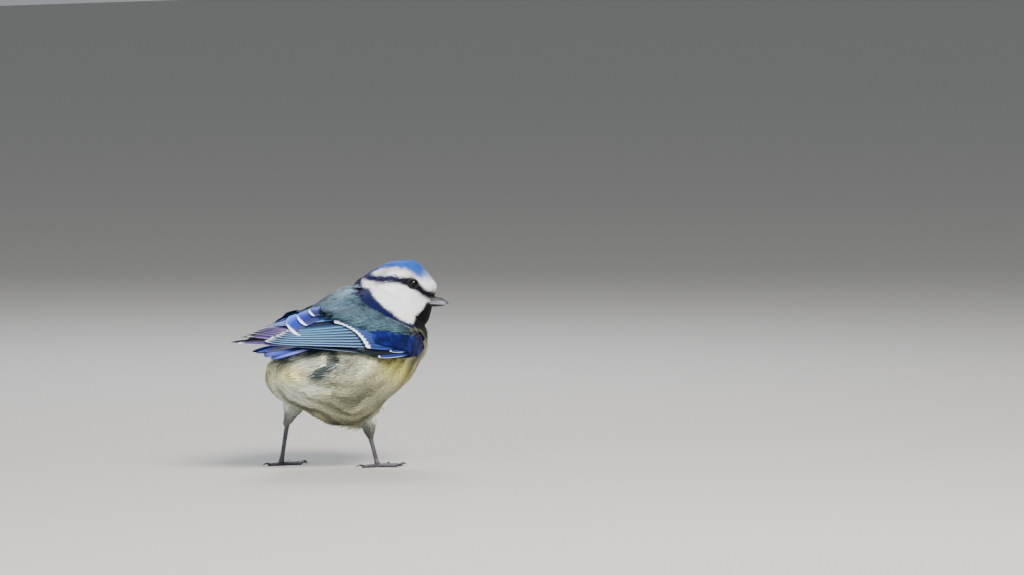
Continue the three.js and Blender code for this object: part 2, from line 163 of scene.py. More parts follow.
# Skin: the bird's soft body under its feathers, one closed surface from vent to forehead.
# It carries the plumage colours and the lie of the feathers for the coat that grows on it.
HEAD_TURN = math.radians(-50)
NECK_X = 20.0
COAT_DEPTH = 1.1
SKIN_VOXEL = 0.62
BODY_OUTLINE = [
    (14.9, 1.2, 2.4, 0.8),
    (15.5, -2.4, 5.6, 5.2),
    (17.2, -7.4, 7.4, 9.4),
    (19.8, -12.6, 11.0, 13.0),
    (23.7, -21.4, 14.4, 16.0),
    (28.7, -28.1, 21.8, 18.4),
    (33.5, -29.2, 27.0, 19.2),
    (37.5, -26.0, 29.8, 19.2),
    (41.0, -17.4, 31.7, 18.8),
    (45.8, -15.2, 32.3, 17.6),
    (50.0, -15.2, 32.4, 16.4),
    (54.0, -13.0, 31.0, 14.6),
    (57.0, -8.6, 28.4, 12.6),
    (59.6, -3.0, 24.4, 10.2),
    (61.4, 3.0, 18.6, 6.4),
    (62.2, 8.4, 12.6, 1.6),
]
HEAD_OUTLINE = [
    (44.0, -1.0, 3.0, 1.0),
    (46.0, -5.2, 8.6, 5.0),
    (49.4, -9.4, 13.0, 8.6),
    (53.8, -12.0, 14.8, 10.8),
    (57.0, -13.0, 15.5, 11.0),
    (59.6, -13.2, 16.2, 10.7),
    (61.6, -12.8, 16.7, 10.2),
    (64.0, -10.8, 15.2, 9.3),
    (66.2, -7.6, 13.2, 8.1),
    (68.4, -3.4, 11.0, 6.1),
    (70.0, 1.0, 8.6, 3.4),
    (70.6, 3.6, 6.6, 0.9),
]
RING_POINTS = 48
HEAD_TAPER = 0.16


def table_curve(rows):
    """A smooth curve through a table whose first column rises; it gives the other columns."""
    data = np.array(rows, float)
    keys, values = data[:, 0], data[:, 1:]
    slopes = np.gradient(values, keys, axis=0)

    def at(where):
        t = np.clip(np.atleast_1d(np.asarray(where, float)), keys[0], keys[-1])
        i = np.clip(np.searchsorted(keys, t) - 1, 0, len(keys) - 2)
        span = (keys[i + 1] - keys[i])[:, None]
        s = ((t - keys[i])[:, None]) / span
        low, high = values[i], values[i + 1]
        a = (2 * s**3 - 3 * s**2 + 1) * low + (s**3 - 2 * s**2 + s) * span * slopes[i]
        return a + (3 * s**2 - 2 * s**3) * high + (s**3 - s**2) * span * slopes[i + 1]

    return at


body_at = table_curve(BODY_OUTLINE)
head_at = table_curve(HEAD_OUTLINE)


def head_place(along, across, level):
    """A point in the head's own directions: forward of the neck's axis, to its left, and up."""
    cosine, sine = math.cos(HEAD_TURN), math.sin(HEAD_TURN)
    x = NECK_X + along * cosine - across * sine
    return np.stack([x, along * sine + across * cosine, level], -1)


def straight_place(along, across, level):
    return np.stack([along, across, level], -1)


def ring_mesh(rings):
    """Vertices and faces of a closed surface over rings of points, capped at both ends."""
    count, around = rings.shape[:2]
    faces = []
    for i in range(count - 1):
        for k in range(around):
            a, b = i * around + k, i * around + (k + 1) % around
            faces.append((a, b, b + around, a + around))
    faces.append(tuple(range(around - 1, -1, -1)))
    faces.append(tuple(range((count - 1) * around, count * around)))
    return rings.reshape(-1, 3), faces


def plumage_rings(rows, row_at, count, taper, place, shrink):
    """Level rings through an outline, drawn in by shrink; taper narrows the front of each."""
    even = np.linspace(0, 1, count)
    level = 0.45 * even + 0.55 * (1 - np.cos(np.pi * even)) / 2
    z = rows[0][0] + shrink + (rows[-1][0] - rows[0][0] - 2 * shrink) * level
    rear, front, half = row_at(z).T
    t = np.linspace(0, 2 * np.pi, RING_POINTS, endpoint=False)
    length = np.maximum((front - rear) / 2 - shrink, 0.3)[:, None]
    width = np.maximum(half - shrink, 0.3)[:, None] * (1 - taper * np.cos(t))
    along = ((rear + front) / 2)[:, None] + length * np.cos(t)
    return place(along, width * np.sin(t), np.repeat(z[:, None], RING_POINTS, 1))


# The rump narrows into a lobe of coverts over the root of the tail, which swings to the bird's right.
TAIL_ROOT = np.array((-10.0, -0.5, 42.3))
TAIL_SWING = math.radians(10)
TAIL_ROLL = math.radians(-12)
TAIL_LOBE = [
    (-3.0, 6.4, -6.0, 9.0),
    (4.0, 6.0, -6.0, 6.4),
    (8.5, 5.2, -5.6, 3.6),
    (12.0, 4.4, -5.0, 1.5),
    (14.5, 3.2, -4.2, 0.4),
]


def tail_place(along, across, rise):
    """A point of the tail: back from its root, across to its right, and up from its plane."""
    y = across * math.cos(TAIL_ROLL) - rise * math.sin(TAIL_ROLL)
    z = across * math.sin(TAIL_ROLL) + rise * math.cos(TAIL_ROLL)
    cosine, sine = math.cos(TAIL_SWING), math.sin(TAIL_SWING)
    x = TAIL_ROOT[0] - along * cosine + y * sine
    return np.stack([x, TAIL_ROOT[1] - along * sine - y * cosine, TAIL_ROOT[2] + z], -1)


def lobe_rings(shrink):
    """Rings of the rump's lobe, each across the tail's own line."""
    rings = []
    for along, half, low, high in TAIL_LOBE:
        t = -np.linspace(0, 2 * np.pi, 24, endpoint=False)
        rise = (low + high) / 2 + ((high - low) / 2 - shrink) * np.sin(t)
        rings.append(tail_place(np.full(24, along), (half - shrink) * np.cos(t), rise))
    return np.array(rings)


def joined_mesh(name, meshes):
    """One object from several lists of points and faces."""
    points, faces, base = [], [], 0
    for part_points, part_faces in meshes:
        faces += [tuple(base + i for i in face) for face in part_faces]
        base += len(part_points)
        points.append(part_points)
    return mesh_object(name, np.concatenate(points), faces)


body_rings = plumage_rings(BODY_OUTLINE, body_at, 40, 0.0, straight_place, COAT_DEPTH)
head_rings = plumage_rings(HEAD_OUTLINE, head_at, 34, HEAD_TAPER, head_place, COAT_DEPTH * 0.75)
raw_skin = joined_mesh("raw_skin", [ring_mesh(rings) for rings in (body_rings, head_rings, lobe_rings(0.6))])
remesh = raw_skin.modifiers.new("remesh", "REMESH")
remesh.mode = "VOXEL"
remesh.voxel_size = SKIN_VOXEL * MM
smooth = raw_skin.modifiers.new("smooth", "SMOOTH")
smooth.factor = 0.5
smooth.iterations = 9


def settled(source, name):
    """A new object whose mesh is the source's with its modifiers applied; the source is removed."""
    graph = bpy.context.evaluated_depsgraph_get()
    mesh = bpy.data.meshes.new_from_object(source.evaluated_get(graph))
    mesh.name = name
    made = bpy.data.objects.new(name, mesh)
    bpy.context.scene.collection.objects.link(made)
    bpy.data.objects.remove(source)
    return made


skin = settled(raw_skin, "skin")


def mesh_points(obj):
    """An object's vertices in body millimetres."""
    flat = np.empty(len(obj.data.vertices) * 3)
    obj.data.vertices.foreach_get("co", flat)
    return flat.reshape(-1, 3) / MM - (BODY_SHIFT, 0, 0)


def mesh_normals(obj):
    """The way out of the surface at each vertex."""
    flat = np.empty(len(obj.data.vertices) * 3)
    obj.data.vertex_normals.foreach_get("vector", flat)
    return flat.reshape(-1, 3)


def head_coordinates(points):
    """Body points as places forward along the head, to its left, and up."""
    dx, dy = points[:, 0] - NECK_X, points[:, 1]
    cosine, sine = math.cos(HEAD_TURN), math.sin(HEAD_TURN)
    return dx * cosine + dy * sine, -dx * sine + dy * cosine, points[:, 2]


def smoothstep(low, high, value):
    t = np.clip((value - low) / (high - low), 0, 1)
    return t * t * (3 - 2 * t)


def line_height(p, corners):
    """Height at p of a line drawn through corners in the side view of the head."""
    xs, zs = zip(*corners)
    return np.interp(p, xs, zs)


def line_distance(p, z, corners):
    """Signed distance in the side view from a line of corners; positive below and behind it."""
    best = np.full(p.shape, 1e9)
    sign = np.ones(p.shape)
    for (x0, z0), (x1, z1) in zip(corners[:-1], corners[1:]):
        dx, dz = x1 - x0, z1 - z0
        t = np.clip(((p - x0) * dx + (z - z0) * dz) / (dx * dx + dz * dz), 0, 1)
        away = np.hypot(p - x0 - t * dx, z - z0 - t * dz)
        side = np.where((p - x0) * dz - (z - z0) * dx > 0, 1.0, -1.0)
        nearer = away < best
        best = np.where(nearer, away, best)
        sign = np.where(nearer, side, sign)
    return best * sign


# Side view of the head's markings: forward of the neck's axis, and height.
CAP_EDGE = [(-9, 65.6), (-5.5, 66.4), (-0.6, 68.3), (4.8, 68.2), (7.7, 67.4), (11.4, 64.9), (14, 63.2)]
EYE_STRIPE = [(-9, 66.6), (-6, 66.2), (-1.2, 64.9), (5.1, 64.4), (9.3, 63.3)]
EYE_STRIPE += [(12.2, 61.3), (14.1, 59.2), (16, 58.2)]
CHEEK_EDGE = [(-9.2, 67.0), (-7.5, 64.0), (-2.8, 58.6), (1.6, 54.4), (5.4, 51.6), (9.0, 50.2), (11.5, 49.6)]
EYE_P, EYE_Z = 9.3, 63.2
STRIPE_HALF = 0.85
# Places along the head with how many times its plain width the eye stripe has there.
STRIPE_SWELL = ((-8, -2, 6, 9, 13, 16), (1.5, 1.3, 1.35, 2.0, 1.7, 1.0))
# Places along the head with the width of the dark collar behind the cheek.
COLLAR_WIDTH = ((-12, -6, -2, 3, 8), (2.2, 2.0, 1.8, 1.8, 1.8))
# How far the white of the cheek stops short of the collar's line.
CHEEK_HEM = 1.4
# Heights with half the width of the black bib.
BIB_HALF = ((45, 47, 50, 51.5, 54, 56.5), (0.8, 3.4, 9.2, 7.0, 4.4, 3.4))

# Colours of the plumage, each a little deeper than the feathers look under soft light.
COLOURS = {
    "cap_front": "3C7CF2",
    "cap_rear": "1233A0",
    "white": "FBFCFF",
    "navy": "0B1145",
    "bib": "040409",
    "mantle": "4A636A",
    "mantle_blue": "5C829E",
    "nape": "9FBED2",
    "rump": "2E4654",
    "cream": "DFE0BC",
    "olive": "95965A",
    "yellow": "D6CB4E",
    "breast": "D2CDA0",
    "vent": "DADFCF",
    # flank: a grey-olive that also paints the shade low on the belly
    "flank": "84856E",
}
TINT = {name: hue(value) for name, value in COLOURS.items()}


def blended(base, other, weight):
    """Rows of base, moved towards other by each row's weight."""
    return base * (1 - weight[:, None]) + other * weight[:, None]


def value_noise(points, size, seed):
    """Smooth noise from -1 to 1 over points, its patches about size across."""
    rng = np.random.default_rng(seed)
    total = np.zeros(len(points))
    for octave in range(3):
        direction = rng.normal(size=(5, 3))
        direction /= np.linalg.norm(direction, axis=1)[:, None]
        phase = rng.uniform(0, 2 * np.pi, 5)
        waves = np.sin(points @ direction.T * (2 * np.pi / size) * (1.7**octave) + phase)
        total += waves.mean(1) / (octave + 1)
    return total


# Where the grey-green back meets the yellow in front of it, as heights and places along the body.
BACK_FRONT = ((44, 44.6, 47.3, 49.6, 51.4, 52.5, 55, 62), (19, 18.5, 14.2, 11.5, 10.2, 12, 14, 15))
# The blue-grey edge of the rump feathers hooks down each flank behind the wing.
RUMP_HOOK = [
    (-14.8, -5.3, 44.8),
    (-12.8, -9.0, 43.6),
    (-11.9, -13.2, 41.6),
    (-12.6, -15.6, 39.4),
    (-14.2, -16.2, 37.3),
    (-16.0, -15.6, 35.8),
    (-17.8, -15.3, 34.6),
    (-19.5, -14.8, 33.6),
]


def path_distance(points, path):
    """Distance of points from a line of corners."""
    best = np.full(len(points), 1e9)
    for a, b in zip(np.array(path[:-1], float), np.array(path[1:], float)):
        span = b - a
        t = np.clip(((points - a) @ span) / (span @ span), 0, 1)
        best = np.minimum(best, np.linalg.norm(points - a - t[:, None] * span, axis=1))
    return best


def body_colour(points):
    """Plumage colour of body points by the bird's markings."""
    x, y, z = points.T
    wobble = value_noise(points, 6, 3) * 0.7
    fine = value_noise(points, 2.2, 4)
    colour = np.repeat(TINT["cream"][None], len(points), 0)
    colour = blended(colour, TINT["vent"], smoothstep(-12, -22, x + wobble) * 0.9)
    lemon = np.exp(-(((x + 24.5) / 4.5) ** 2 + ((z - 33.5) / 4) ** 2)) * 0.6
    colour = blended(colour, TINT["yellow"], lemon)
    flank = np.exp(-(((x - 2) / 9) ** 2 + ((z - 33 - 0.3 * x) / 5) ** 2)) * 0.55
    colour = blended(colour, TINT["olive"], flank)
    # painted shade: the grey-olive patch low on the flank and belly is partly the flank's own grey and partly
    # painted shade where the belly turns under
    shade = np.exp(-(((x + 3) / 12) ** 2 + ((z - 28.5) / 6) ** 2)) * 0.7
    colour = blended(colour, TINT["flank"], shade)
    colour = blended(colour, TINT["vent"], np.exp(-(((x + 7) / 6) ** 2 + ((z - 38) / 4) ** 2)) * 0.7)
    under_wing = smoothstep(8, 0, np.abs(z - 37 + (x - 10) * 0.25)) * smoothstep(-2, 10, x)
    colour = blended(colour, TINT["yellow"], under_wing * 0.7)
    front = smoothstep(16, 30, x + wobble)
    colour = blended(colour, TINT["breast"], front * 0.75)
    colour = blended(colour, TINT["yellow"], smoothstep(22, 30, x) * smoothstep(30, 42, z) * 0.25)
    # olive deepens towards the bottom of the body
    colour = blended(colour, TINT["olive"], smoothstep(26, 14, z) * 0.28 * smoothstep(-18, 0, x))
    colour = blended(colour, TINT["olive"], np.clip(fine, 0, 1) * 0.3)
    back_line = np.interp(z, *BACK_FRONT) - smoothstep(12, 4, np.abs(y)) * 3
    strip = np.exp(-(((x - back_line - 2.2) / 2.4) ** 2)) * smoothstep(43, 46, z) * smoothstep(55, 52, z)
    colour = blended(colour, TINT["yellow"], strip * 0.8)
    back = smoothstep(43.5, 45.5, z + wobble * 0.6) * smoothstep(1.2, -1.2, x - back_line + wobble)
    mantle = np.repeat(TINT["mantle"][None], len(points), 0)
    mantle = blended(mantle, TINT["mantle_blue"], np.clip(0.35 + fine * 0.35, 0, 1))
    mantle = blended(mantle, TINT["nape"], smoothstep(58.5, 61.5, z + wobble * 0.4) * 0.8)
    colour = blended(colour, mantle, back)
    colour = blended(colour, TINT["rump"], smoothstep(-11.5, -13.5, x) * smoothstep(39.5, 41.5, z))
    folded = np.stack([x, -np.abs(y), z], -1)
    hook = path_distance(folded, RUMP_HOOK) + wobble * 0.4
    colour = blended(colour, TINT["rump"], smoothstep(2.7, 1.7, hook) * 0.9)
    inner = path_distance(folded + (1.6, -0.6, 0.4), RUMP_HOOK) + wobble * 0.3
    return blended(colour, TINT["navy"], smoothstep(1.3, 0.4, inner) * 0.85)


def head_edge(p, z):
    """Signed distance in the side view from the rear edge of the collar; negative on the head."""
    return line_distance(p, z, CHEEK_EDGE) - np.interp(p, *COLLAR_WIDTH)


def plumage_colour(points):
    """Plumage colour of any point of the skin."""
    p, q, z = head_coordinates(points)
    wobble = value_noise(points, 2.4, 7) * 0.22
    cheek = line_distance(p, z, CHEEK_EDGE)
    top = np.where(p < -7.5, smoothstep(62.1, 63.1, z + wobble), 1.0)
    navy = smoothstep(0.35, -0.35, head_edge(p, z) + wobble) * top
    colour = blended(body_colour(points), TINT["navy"], navy)
    hem = CHEEK_HEM * smoothstep(10, 4, p) * smoothstep(62.5, 60.5, z)
    colour = blended(colour, TINT["white"], smoothstep(0.3, -0.3, cheek + hem + wobble))
    stripe = np.abs(z - line_height(p, EYE_STRIPE)) - STRIPE_HALF * np.interp(p, *STRIPE_SWELL)
    in_head = smoothstep(0.3, -0.3, cheek + wobble)
    line = smoothstep(0.3, -0.3, stripe + wobble) * np.maximum(in_head, (p < -6) * navy)
    colour = blended(colour, TINT["navy"], line)
    colour = blended(colour, TINT["bib"], line * smoothstep(2, 7, p) * 0.85)
    cap = smoothstep(-0.35, 0.35, z - line_height(p, CAP_EDGE) + wobble) * smoothstep(15.2, 11.6, p)
    rear = np.repeat(TINT["cap_rear"][None], len(points), 0)
    colour = blended(colour, blended(rear, TINT["cap_front"], smoothstep(-4, 7, p)), cap)
    bib = smoothstep(0.4, -0.4, np.abs(q) - np.interp(z, *BIB_HALF) + wobble) * (p > 4)
    return blended(colour, TINT["bib"], bib * smoothstep(44.8, 45.8, z) * smoothstep(57.4, 56.6, z))


def set_point_colour(obj, name, rgb):
    """Stores a colour at each vertex."""
    layer = obj.data.color_attributes.new(name, "FLOAT_COLOR", "POINT")
    layer.data.foreach_set("color", np.concatenate([rgb, np.ones((len(rgb), 1))], 1).ravel())


def set_point_values(obj, name, values):
    """Stores a number or a vector at each vertex."""
    values = np.ascontiguousarray(values, dtype=np.float32)
    kind, field = ("FLOAT", "value") if values.ndim == 1 else ("FLOAT_VECTOR", "vector")
    obj.data.attributes.new(name, kind, "POINT").data.foreach_set(field, values.ravel())


BILL_TIP = np.array((30.5, -12.5, 57.5))
TAIL_TIP = np.array((-38.0, -3.0, 36.0))


def feather_lie(points):
    """The way the feathers point: away from the bill over head and breast, then towards the tail."""
    away = points - BILL_TIP
    gone = np.linalg.norm(away, axis=1)[:, None]
    back = TAIL_TIP - points
    back /= np.linalg.norm(back, axis=1)[:, None] + 1e-9
    turn = smoothstep(8, 40, gone)
    return away / (gone + 1e-9) * (1 - 0.7 * turn) + back * turn + np.array((0, 0, -0.18))


# How much of the flat map's width one turn round the body takes.
MAP_ROUND = 0.96


def unwrap(points):
    """Place of body points on a flat map: round the line from the vent to the crown, and along it."""
    start, end = np.array((-28.0, 0.0, 26.0)), np.array((26.0, -4.0, 71.0))
    axis = (end - start) / np.linalg.norm(end - start)
    rise = np.array((0.0, 0.0, 1.0)) - axis[2] * axis
    rise /= np.linalg.norm(rise)
    across = np.cross(axis, rise)
    offset = points - start
    angle = np.arctan2(offset @ across, offset @ rise)
    along = np.clip((offset @ axis) / 72, 0, 1)
    return np.stack([0.5 + angle / (2 * np.pi) * MAP_ROUND, 0.05 + 0.9 * along], -1)


def bake_map(obj):
    """Gives an object its OFBake map from the flat map of its own vertices."""
    flat = unwrap(mesh_points(obj))
    loops = np.empty(len(obj.data.loops), dtype=np.int32)
    obj.data.loops.foreach_get("vertex_index", loops)
    corner = flat[loops]
    starts = np.array([p.loop_start for p in obj.data.polygons])
    counts = np.array([p.loop_total for p in obj.data.polygons])
    face = np.repeat(np.arange(len(starts)), counts)
    past = corner[:, 0] - corner[starts[face], 0]
    corner[:, 0] += MAP_ROUND * (np.where(past < -0.5, 1, 0) - np.where(past > 0.5, 1, 0))
    layer = obj.data.uv_layers.new(name="OFBake")
    layer.data.foreach_set("uv", corner.ravel())


def grow_ready(obj, colour, lie):
    """Stores the colour of the feathers that grow on an object, their lie along it and its flat map."""
    points, normals = mesh_points(obj), mesh_normals(obj)
    set_point_colour(obj, "plumage", colour)
    lie = lie - (lie * normals).sum(1)[:, None] * normals
    set_point_values(obj, "lie", lie / (np.linalg.norm(lie, axis=1)[:, None] + 1e-9))
    set_point_values(obj, "root_place", np.concatenate([unwrap(points), np.zeros((len(points), 1))], 1))
    bake_map(obj)


skin_points = mesh_points(skin)
grow_ready(skin, plumage_colour(skin_points), feather_lie(skin_points))
# Skin under down: matte, its plumage colour dimmed as painted shade, so that the gaps between the feathers
# look shaded and deep.
skin_material, skin_shader = material("down_covered_skin", "C8C0A8", 0.85)
skin_tree = skin_material.node_tree
skin_tint = add_node(skin_tree, "ShaderNodeAttribute", {"attribute_name": "plumage"}).outputs["Color"]
# painted shade: the plumage colour scaled down for the shade in the gaps between the feathers
skin_painted_shade = add_node(skin_tree, "ShaderNodeVectorMath", {"operation": "SCALE"}, {0: skin_tint, "Scale": 0.62})
skin_tree.links.new(skin_painted_shade.outputs[0], skin_shader.inputs["Base Color"])
skin.data.materials.append(skin_material)
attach(skin, "root")
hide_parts("head", "neck", "torso")

# Eyes: round and almost black, set in the dark stripe on each side of the head.
# Each is a ball in its socket with a dark brown iris round the pupil, under a moist clear front.
EYE_RADIUS = 1.8
EYE_STANDS_OUT = 0.85


def skin_half_width(p, z):
    """Half the width of the head where an eye sits."""
    rear, front = head_at(z)[0][:2]
    t = math.acos(max(-1.0, min(1.0, (p - (rear + front) / 2) / ((front - rear) / 2))))
    return head_at(z)[0][2] * (1 - HEAD_TAPER * math.cos(t)) * math.sin(t)


EYE_DEPTH = skin_half_width(EYE_P, EYE_Z) + EYE_STANDS_OUT - EYE_RADIUS


def eye_centre(side):
    """Centre of an eye: side is -1 on the bird's right and 1 on its left."""
    return head_place(np.array(EYE_P), np.array(side * EYE_DEPTH), np.array(EYE_Z)).reshape(3)


def ball_mesh(radius, centre, axis, columns=40, rows=24):
    """A sphere whose pole points along axis."""
    axis = Vector(axis).normalized()
    spin = axis.to_track_quat("Z", "Y").to_matrix()
    rings = []
    for i in range(rows + 1):
        polar = min(max(math.pi * (1 - i / rows), 0.01), math.pi - 0.01)
        ring = []
        for k in range(columns):
            round_pole = 2 * math.pi * k / columns
            flat = Vector((math.cos(round_pole), math.sin(round_pole), 0)) * math.sin(polar)
            ring.append(tuple(Vector(centre) + spin @ ((flat + Vector((0, 0, math.cos(polar)))) * radius)))
        rings.append(ring)
    return ring_mesh(np.array(rings))


def outward(side):
    """The way an eye looks: to the side and a little forward."""
    tip = head_place(np.array(0.34), np.array(side * 1.0), np.array(0.0))
    base = head_place(np.array(0.0), np.array(0.0), np.array(0.0))
    return (tip - base).reshape(3)


# Cornea over a dark iris: wet and very smooth, so that the lamps show as small sharp lights.
eye_material, eye_shader = material("eye_cornea_over_dark_iris", "0B0705", 0.06, IOR=1.33)
iris_tree = eye_material.node_tree
ring_place = add_node(iris_tree, "ShaderNodeAttribute", {"attribute_name": "from_pupil"})
iris = add_node(iris_tree, "ShaderNodeValToRGB", inputs={"Fac": ring_place.outputs["Fac"]})
iris.color_ramp.elements[0].position = 0.40
iris.color_ramp.elements[0].color = linear("020202")
iris.color_ramp.elements[1].position = 0.5
iris.color_ramp.elements[1].color = linear("0C0605")
iris_tree.links.new(iris.outputs["Color"], eye_shader.inputs["Base Color"])
for side, name in ((-1, "eye_right"), (1, "eye_left")):
    centre, looks = eye_centre(side), outward(side)
    eye_points, eye_faces = ball_mesh(EYE_RADIUS, centre, looks)
    eye = mesh_object(name + "_ball", eye_points, eye_faces)
    unit = looks / np.linalg.norm(looks)
    spread = np.arccos(np.clip((eye_points - centre) @ unit / EYE_RADIUS, -1, 1)) / (np.pi / 2)
    set_point_values(eye, "from_pupil", spread)
    eye.data.materials.append(eye_material)
    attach(eye, "root")
    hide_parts(name)

# Eyelids: a thin bare rim of dark skin round each eye, a little thicker above.
# It closes the gap between the ball and the small feathers of the face.
LID_RING = 1.62
# Bare lid skin: nearly black and dull, so that the eye seems larger and the stripe runs through it.
lid_material, _ = material("bare_lid_skin", "07070A", 0.6)
for side in (-1, 1):
    looks = Vector(outward(side)).normalized()
    upward = Vector((0, 0, 1))
    upward = (upward - looks * upward.dot(looks)).normalized()
    sideways = upward.cross(looks)
    centre = Vector(eye_centre(side)) + looks * (EYE_RADIUS * 0.42)
    rings = []
    for i in range(41):
        a = 2 * math.pi * (i % 40) / 40
        thick = 0.26 + 0.1 * max(0, math.sin(a))
        out = sideways * (math.cos(a) * 1.06) + upward * math.sin(a)
        ring = []
        for k in range(8):
            b = -2 * math.pi * k / 8
            rim = out * (LID_RING + thick * math.cos(b)) + looks * (thick * math.sin(b))
            ring.append(tuple(centre + rim))
        rings.append(ring)
    lid_points, lid_faces = ring_mesh(np.array(rings))
    lid = mesh_object("lids_right" if side < 0 else "lids_left", lid_points, lid_faces[:-2])
    lid.data.materials.append(lid_material)
    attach(lid, "root")

# Bill: two horn sheaths over the bone of the jaws, short and stout, grown from the front of the skull.
# The upper one is slate with a pale cutting edge and a dark nostril on each side, painted as a spot of shade;
# the lower one is darker.
# Each row gives a place along the head, the lowest and highest point there, and half the width.
UPPER_BILL = [
    (11.6, 56.45, 59.0, 2.6),
    (13.6, 56.45, 58.9, 2.45),
    (15.6, 56.4, 58.6, 2.0),
    (16.8, 56.35, 58.35, 1.6),
    (17.8, 56.28, 58.0, 1.2),
    (18.9, 56.2, 57.45, 0.8),
    (19.8, 56.05, 56.85, 0.45),
    (20.4, 55.95, 56.3, 0.16),
]
LOWER_BILL = [
    (11.6, 54.6, 56.25, 2.4),
    (13.6, 54.7, 56.25, 2.2),
    (15.6, 54.85, 56.2, 1.75),
    (16.8, 54.95, 56.15, 1.35),
    (17.8, 55.1, 56.08, 1.0),
    (18.9, 55.35, 56.0, 0.62),
    (19.6, 55.55, 55.95, 0.3),
    (20.0, 55.68, 55.88, 0.12),
]


# Horn of the bill: smooth keratin with a soft sheen along its ridge.
horn_material, horn_shader = material("bill_horn_keratin", "2B303C", 0.5, IOR=1.4)
horn_tint = add_node(horn_material.node_tree, "ShaderNodeAttribute", {"attribute_name": "horn_colour"})
horn_material.node_tree.links.new(horn_tint.outputs["Color"], horn_shader.inputs["Base Color"])
BILL_AROUND = 28
NOSTRIL = (15.2, 1.35, 58.0)


def bill_half(name, rows, upper, node):
    """One sheath: a half round closed by a flat face along the cutting edge."""
    p = np.linspace(rows[0][0], rows[-1][0], 26)
    low, high, half = table_curve(rows)(p).T
    edge, grows = (low, 1) if upper else (high, -1)
    t = np.linspace(0, 2 * np.pi, BILL_AROUND, endpoint=False)
    rise = np.sin(t) * grows
    rings = []
    for i in range(len(p)):
        z = edge[i] + grows * np.where(rise > 0, (high[i] - low[i]) * np.abs(rise) ** 0.85, 0.0)
        rings.append(head_place(np.full(BILL_AROUND, p[i]), half[i] * np.cos(t), z))
    bill_points, bill_faces = ring_mesh(np.array(rings))
    made = mesh_object(name, bill_points, bill_faces)
    hp, hq, hz = head_coordinates(bill_points)
    from_edge = np.abs(hz - np.interp(hp, [r[0] for r in rows], [r[1] if upper else r[2] for r in rows]))
    if upper:
        slate = np.repeat(hue("12151D")[None], len(hp), 0)
        pale = smoothstep(0.7, 0.2, from_edge) * smoothstep(11.5, 14, hp) * smoothstep(20.2, 18.5, hp) * 0.9
    else:
        slate = np.repeat(hue("0E0F15")[None], len(hp), 0)
        pale = smoothstep(0.4, 0.1, from_edge) * 0.8
    colour = blended(slate, hue("C2C7D2"), pale)
    if upper:
        # painted shade: a dark spot for the shaded opening of each nostril
        along, across, level = NOSTRIL
        nostril_shade = ((hp - along) / 0.45) ** 2 + ((np.abs(hq) - across) / 0.5) ** 2 + ((hz - level) / 0.35) ** 2
        colour = blended(colour, hue("0D0D0F"), np.clip(np.exp(-nostril_shade) * 1.3, 0, 1))
    set_point_colour(made, "horn_colour", colour)
    made.data.materials.append(horn_material)
    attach(made, "root")
    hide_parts(node)


bill_half("bill_upper_horn", UPPER_BILL, True, "bill_upper")
bill_half("bill_lower_horn", LOWER_BILL, False, "bill_lower")

# Wings: each folded over the flank, its flight feathers rooted in the arm and stacked in tiers.
# Feathers are flat vanes of keratin with a shaft; the rows of coverts overlap their roots like tiles.
# The shell they lie on: place along the body, half width, height of the widest line, and the ridge.
WING_SHELL = [
    (-50, 2.4, 45.0, 46.2),
    (-38, 5.0, 44.6, 49.7),
    (-30, 7.6, 43.8, 51.8),
    (-20, 12.2, 41.6, 55.5),
    (-9, 17.2, 40.0, 58.8),
    (4, 19.9, 39.6, 61.6),
    (15, 18.0, 40.4, 63.5),
    (23, 13.6, 41.8, 64.5),
]
shell_at = table_curve(WING_SHELL)


def shell_frame(x, z, lift):
    """Points lifted off the right wing's shell, with the directions out of it and up along it."""
    x, z, lift = np.broadcast_arrays(np.atleast_1d(x), z, lift)
    half, widest, ridge = shell_at(x).T
    slope = np.arcsin(np.clip((z - widest) / (ridge - widest), -0.4, 0.985))
    nought = np.zeros(len(x))
    out = np.stack([nought, -np.cos(slope), np.sin(slope)], -1)
    up = np.stack([nought, half * np.sin(slope), (ridge - widest) * np.cos(slope)], -1)
    up /= np.linalg.norm(up, axis=1)[:, None]
    return np.stack([x, -(half + lift) * np.cos(slope), z + lift * np.sin(slope)], -1), out, up


# Where the columns of a vane lie across it, from the outer edge to the inner one.
VANE_ACROSS = np.array((-1, -0.94, -0.84, -0.7, -0.5, -0.25, 0.1, 0.5, 0.85, 1))
# Outlines of a vane: places from root to tip with the share of its full width there.
ROUND_TIP = ((0, 0.3, 0.6, 0.8, 0.92, 0.975, 1), (0.6, 0.95, 1, 0.93, 0.66, 0.36, 0.06))
BLUNT_TIP = ((0, 0.3, 0.7, 0.9, 0.96, 0.99, 1), (0.6, 0.95, 1, 0.95, 0.82, 0.55, 0.2))
BROAD_TIP = ((0, 0.2, 0.5, 0.7, 0.82, 0.91, 0.97, 1), (0.75, 0.95, 1, 0.97, 0.86, 0.66, 0.38, 0.1))
LONG_TIP = ((0, 0.25, 0.6, 0.8, 0.92, 0.98, 1), (0.6, 0.95, 1, 0.84, 0.55, 0.26, 0.05))
VANE_THICK = 0.13


